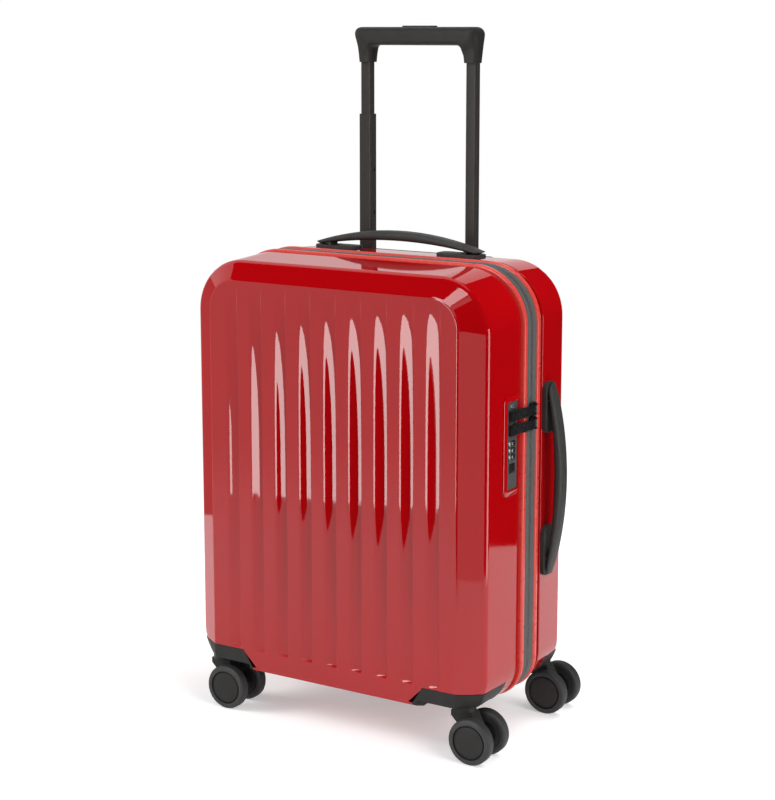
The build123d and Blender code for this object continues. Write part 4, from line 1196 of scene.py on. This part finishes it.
class SUITCASE_OT_inside(Operator):
    """What the open case shows: the two linings, the packing straps and their buckle"""

    bl_idname = "suitcase.inside"
    bl_label = "Inside"

    housing_room = 0.001  # between a caster housing and the lining over it
    housing_ease = 0.012  # length of the step beside it
    lining_pitch = 0.006
    lining_corner = 0.007
    wall_wave = 0.00014
    floor_wave = 0.0003
    neck_room = Vector((0.0045, 0.0105, 0.0))  # half widths along and across a handle
    strap_bend = 0.004
    strap_fall = 0.026
    strap_tuck = 0.006  # into the buckle
    strap_gap = 0.0018  # to the construction's end at the wall

    def floor_depth(self, end, x, z, floor):
        """Depth of a lining below the zip: its floor, and a smooth step up over the caster housings."""
        low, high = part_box(f"{end}_right_caster_housing")
        near = min(abs(low.y), abs(high.y)) - self.housing_room
        over = max(high.z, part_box(end + "_housing_screws")[1].z) + self.housing_room
        beside = smooth_step((np.abs(x) - low.x + self.housing_room) / self.housing_ease + 1.0)
        under = smooth_step((over - z) / self.housing_ease + 1.0)
        return floor - np.maximum(floor - near, 0.0) * beside * under

    def lining(self, sizes, end, side):
        """A lining as a tray: rings from the rim down the wall, round a corner and over the floor.

        Shallow waves draw the cloth inwards: three sines round the wall, and two bent ones over the floor.
        """
        low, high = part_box(end + "_lining")
        rim, floor = sorted((abs(low.y), abs(high.y)))
        at, out = (closed(points) for points in spread_round(sizes, self.lining_pitch))
        corner = self.lining_corner
        edge = at - (LID_HIGH.x - high.x) * out
        foot = edge - corner * out
        bottom = self.floor_depth(end, foot[:, 0], foot[:, 1], floor)
        round_it = np.linspace(0.0, 2 * math.pi, len(at))
        wave = np.sin(53 * round_it) + np.sin(37 * round_it + 1.3) + np.sin(89 * round_it + 0.4)
        down = np.linspace(0.0, 1.0, 9)[:, None]
        wall = edge - (self.wall_wave * (3.0 + wave) * np.sin(math.pi * down))[..., None] * out
        wall_depth = rim + (bottom - corner - rim) * down
        turn = np.linspace(0.0, math.pi / 2, 7)[1:, None]
        bend = edge - corner * (1.0 - np.cos(turn))[..., None] * out
        bend_depth = bottom - corner + corner * np.sin(turn)
        middle = np.array([0.0, (low.z + high.z) / 2])
        inwards = np.linspace(1.0, 0.0, 49)[1:, None]
        base = middle + inwards[..., None] * (foot - middle)
        x, z = base[..., 0], base[..., 1]
        swell = np.sin(134.0 * x + 1.7 * np.sin(57.0 * z)) + np.sin(103.0 * z + 1.1 * np.sin(70.0 * x))
        base_depth = self.floor_depth(end, x, z, floor) - self.floor_wave * (2.0 + swell) * (1.0 - inwards**6)
        place = np.concatenate([wall, bend, base])
        depth = np.concatenate([wall_depth, bend_depth, base_depth])
        return Surface().grid(in_space(place[..., 0], side * depth, place[..., 1]))

    def neck_rooms(self):
        """Rooms in the back's lining for the handles' necks: a pair open upwards, a pair to the right."""
        half = self.neck_room
        side_low, side_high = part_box("side_handle_grip")
        middle = (HANDLE_LOW + HANDLE_HIGH) / 2
        side_middle = (side_low + side_high) / 2
        rooms = []
        for hand in (-1.0, 1.0):
            reach = hand * (HANDLE_HIGH.x - NECK_INSET)
            at = Vector((reach, middle.y, HANDLE_LOW.z))
            rooms.append(block_room(at - half, at + half, 0.0, 2))
            at = Vector((side_low.x, side_middle.y, side_middle.z + reach))
            rooms.append(block_room(at - half.zyx, at + half.zyx, 0.0, 0))
        return rooms

    def strap(self, hand):
        """One strap and its length: a flat section from the buckle to the wall, round a bend and down."""
        low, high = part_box("packing_straps")
        half = (high - low) / 2
        middle = (low + high) / 2
        bend = self.strap_bend
        wall = high.x - self.strap_gap
        turn = np.linspace(0.0, math.pi / 2, 9)
        reach = np.linspace(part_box("strap_buckle")[1].x - self.strap_tuck, wall - bend, 25)[:-1]
        fall = np.linspace(bend, self.strap_fall, 6)[1:]
        x = np.concatenate([reach, wall - bend + bend * np.sin(turn), wall + 0 * fall])
        y = np.concatenate([0 * reach, bend - bend * np.cos(turn), fall])
        line = np.stack([x, middle.y + y], axis=1)
        ahead = np.gradient(line, axis=0)
        ahead /= np.linalg.norm(ahead, axis=1, keepdims=True)
        section = block_loop(half.z, half.y, 0.0006, 3)[0]
        at_x = line[:, :1] - ahead[:, 1:] * section[None, :, 1]
        at_y = line[:, 1:] + ahead[:, :1] * section[None, :, 1]
        length = float(np.linalg.norm(np.diff(line, axis=0), axis=1).sum())
        return Surface().tube(in_space(hand * at_x, at_y, middle.z + section[None, :, 0])), length

    def execute(self, context):
        sizes = context.scene.suitcase_sizes
        fittings = context.scene.suitcase_fittings
        rooms = {"front": [block_room(LOCK_LOW, LOCK_HIGH, LOCK_ROOM, 0)], "rear": self.neck_rooms()}
        for side, half, end, body in HALVES:
            name = end + "_lining"
            mesh = cut_away(self.lining(sizes, end, side).mesh(name), rooms[end])
            obj = dress(name + "_cloth", mesh, "lining", body, [name])
            thicken(obj, fittings.lining_thickness)
        buckle = eased_copy("strap_buckle", "plastic", 0.0012)
        straps = {"left_packing_strap": (-1.0, ["packing_straps"]), "right_packing_strap": (1.0, [])}
        for name, (hand, nodes) in straps.items():
            surface, length = self.strap(hand)
            strap = dress(name, surface.mesh(name), "strap", "rear_case", nodes)
        return {"FINISHED"}


class SUITCASE_OT_stage(Operator):
    """Floor, camera, lamps and the cards that the gloss reflects"""

    bl_idname = "suitcase.stage"
    bl_label = "Stage"

    # Upright cards round the case: first and last angle from the front towards the right, in degrees,
    # radius at these angles, lower and upper end, and glow.
    upright_cards = {
        "left_grey": (-99.0, -80.0, 1.0, 1.0, 0.005, 0.7, 0.22),
        "front_softbox": (-13.6, 0.0, 0.82, 0.82, 0.085, 1.3, 9.2),
        "right_flag": (0.0, 35.0, 1.05, 0.72, 0.01, 0.65, 0.01),
        "side_flag": (35.0, 178.0, 0.87, 0.87, 0.01, 2.4, 0.01),
        "bevel_card": (33.0, 50.0, 0.84, 0.84, 0.005, 0.4, 0.9),
        "edge_card": (76.0, 100.0, 0.84, 0.84, 0.005, 0.5, 5.0),
        "rear_card": (180.0, 258.0, 1.6, 1.6, 0.01, 2.2, 0.8),
    }
    # Level cards above the case: X from and to, Y from and to, height, and glow.
    level_cards = {
        "top_flag": (-1.25, 0.6, -1.9, -0.12, 1.61, 0.01),
        "top_softbox": (-0.52, 0.55, -1.5, -0.76, 1.6, 6.5),
    }
    # Lamps: place and width; their powers are among the stage's sizes.
    lamps = {
        "key": ((0.7, 0.9, 2.3), 1.6),
        "fill": ((-2.1, -1.2, 1.3), 1.2),
        "side": ((2.0, -0.7, 1.3), 1.2),
    }
    aim = Vector((0.0, 0.0, 0.3))
    paper_ends = (0.75, 1.7)  # distances between which the paper turns into plain white
    floor_rings = np.array([0.0, 0.5, 1.0, 2.0, 6.0])

    def world(self, stage):
        """A white room for what is seen, and a softer light on the object."""
        world = bpy.data.worlds.new("white_room")
        bpy.context.scene.world = world
        tree = NodeTree(world)
        light = {"Value": tree.seen_rays(), "To Min": stage.daylight, "To Max": 1.0}
        strength = tree.node("MapRange", "Result", light)
        tree.feed(tree.nodes["Background"], {"Color": (1.0, 1.0, 1.0, 1.0), "Strength": strength})

    def floor(self, stage):
        """A round floor: white paper that takes the shadow, turning into plain white further out."""
        material = bpy.data.materials.new("white_paper_floor")
        tree = NodeTree(material)
        tree.nodes.clear()
        seen = tree.seen_rays()
        paper = tree.node("BsdfDiffuse", "BSDF", {"Color": (stage.paper, stage.paper, stage.paper, 1.0)})
        lift = tree.node("Math", "Value", {0: seen, 1: stage.paper_glow}, operation="MULTIPLY")
        glow = tree.node("Emission", "Emission", {"Strength": lift})
        both = tree.node("AddShader", "Shader", {0: paper, 1: glow})
        white = tree.node("Emission", "Emission", {"Strength": seen})
        where = tree.node("TexCoord", "Object")
        reach = tree.node("VectorMath", "Value", {0: where}, operation="LENGTH")
        start, end = self.paper_ends
        ends = {"Value": reach, "From Min": start, "From Max": end}
        fade = tree.node("MapRange", "Result", ends, interpolation_type="SMOOTHSTEP")
        mix = tree.node("MixShader", "Shader", {"Fac": fade, 1: both, 2: white})
        tree.node("OutputMaterial", None, {"Surface": mix})
        angle = np.linspace(0.0, 2 * math.pi, 65)[None, :]
        radius = self.floor_rings[:, None]
        points = in_space(radius * np.cos(angle), radius * np.sin(angle), 0.0)
        floor = show("paper_floor", Surface().grid(points).mesh("paper_floor"), material)

    def card(self, name, points, strength):
        """A glowing or black card that only the gloss sees."""
        material = bpy.data.materials.new(name)
        tree = NodeTree(material)
        tree.nodes.clear()
        glow = tree.node("Emission", "Emission", {"Strength": strength})
        tree.node("OutputMaterial", None, {"Surface": glow})
        obj = show(name, Surface().grid(points).mesh(name), material)
        for rays in ("camera", "diffuse", "transmission", "volume_scatter", "shadow"):
            setattr(obj, "visible_" + rays, False)

    def lamp(self, name, place, width, power):
        """A square lamp that lights the object without showing in its gloss."""
        light = bpy.data.lights.new(name, "AREA")
        light.shape = "SQUARE"
        light.size = width
        light.energy = power
        obj = bpy.data.objects.new(name, light)
        obj.location = place
        obj.rotation_euler = (self.aim - Vector(place)).to_track_quat("-Z", "Y").to_euler()
        obj.visible_glossy = False
        bpy.context.scene.collection.objects.link(obj)

    def execute(self, context):
        stage = context.scene.suitcase_stage
        context.scene.view_settings.view_transform = "Standard"
        self.world(stage)
        self.floor(stage)
        for name, (start, end, near, far, low, high, glow) in self.upright_cards.items():
            angle = np.radians(np.linspace(start, end, 25))
            radius = np.linspace(near, far, 25)
            height = np.linspace(low, high, 3)[:, None]
            self.card(name, in_space(radius * np.sin(angle), -radius * np.cos(angle), height), glow)
        for name, (left, right, front, rear, height, glow) in self.level_cards.items():
            x = np.linspace(left, right, 3)[None, :]
            y = np.linspace(front, rear, 3)[:, None]
            self.card(name, in_space(x, y, height), glow)
        for name, (place, width) in self.lamps.items():
            self.lamp(name + "_lamp", place, width, getattr(stage, name))
        camera = bpy.data.cameras.new("camera")
        camera.sensor_fit = "AUTO"
        camera.sensor_width = 36.0
        camera.lens = stage.camera_lens
        camera.shift_y = stage.camera_shift
        obj = bpy.data.objects.new("camera", camera)
        obj.location = stage.camera_place
        obj.rotation_euler = (math.pi / 2 - stage.camera_tilt, 0.0, stage.camera_turn)
        context.scene.collection.objects.link(obj)
        context.scene.camera = obj
        return {"FINISHED"}


class SUITCASE_PT_build(Panel):
    """The suitcase's operators and sizes"""

    bl_idname = "SUITCASE_PT_build"
    bl_label = "Suitcase"
    bl_space_type = "VIEW_3D"
    bl_region_type = "UI"
    bl_category = "Suitcase"

    def draw(self, context):
        for operator in OPERATORS:
            self.layout.operator(operator.bl_idname)
        for group in GROUPS:
            column = self.layout.column(align=True)
            values = getattr(context.scene, group)
            for name in values.__annotations__:
                column.prop(values, name)


OPERATORS = (
    SUITCASE_OT_shells,
    SUITCASE_OT_zip,
    SUITCASE_OT_casters,
    SUITCASE_OT_trolley,
    SUITCASE_OT_handles,
    SUITCASE_OT_lock,
    SUITCASE_OT_inside,
    SUITCASE_OT_stage,
)
GROUPS = {
    "suitcase_sizes": CaseSizes,
    "suitcase_fittings": FittingSizes,
    "suitcase_finishes": Finishes,
    "suitcase_stage": StageSizes,
}


def register():
    for group, kind in GROUPS.items():
        bpy.utils.register_class(kind)
        setattr(bpy.types.Scene, group, PointerProperty(type=kind))
    for operator in OPERATORS:
        bpy.utils.register_class(operator)
    bpy.utils.register_class(SUITCASE_PT_build)


def unregister():
    bpy.utils.unregister_class(SUITCASE_PT_build)
    for operator in reversed(OPERATORS):
        bpy.utils.unregister_class(operator)
    for group, kind in GROUPS.items():
        delattr(bpy.types.Scene, group)
        bpy.utils.unregister_class(kind)


def main():
    """Build the suitcase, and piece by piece."""
    register()
    for operator in OPERATORS:
        family, name = operator.bl_idname.split(".")
        getattr(getattr(bpy.ops, family), name)()


if __name__ == "__main__":
    main()
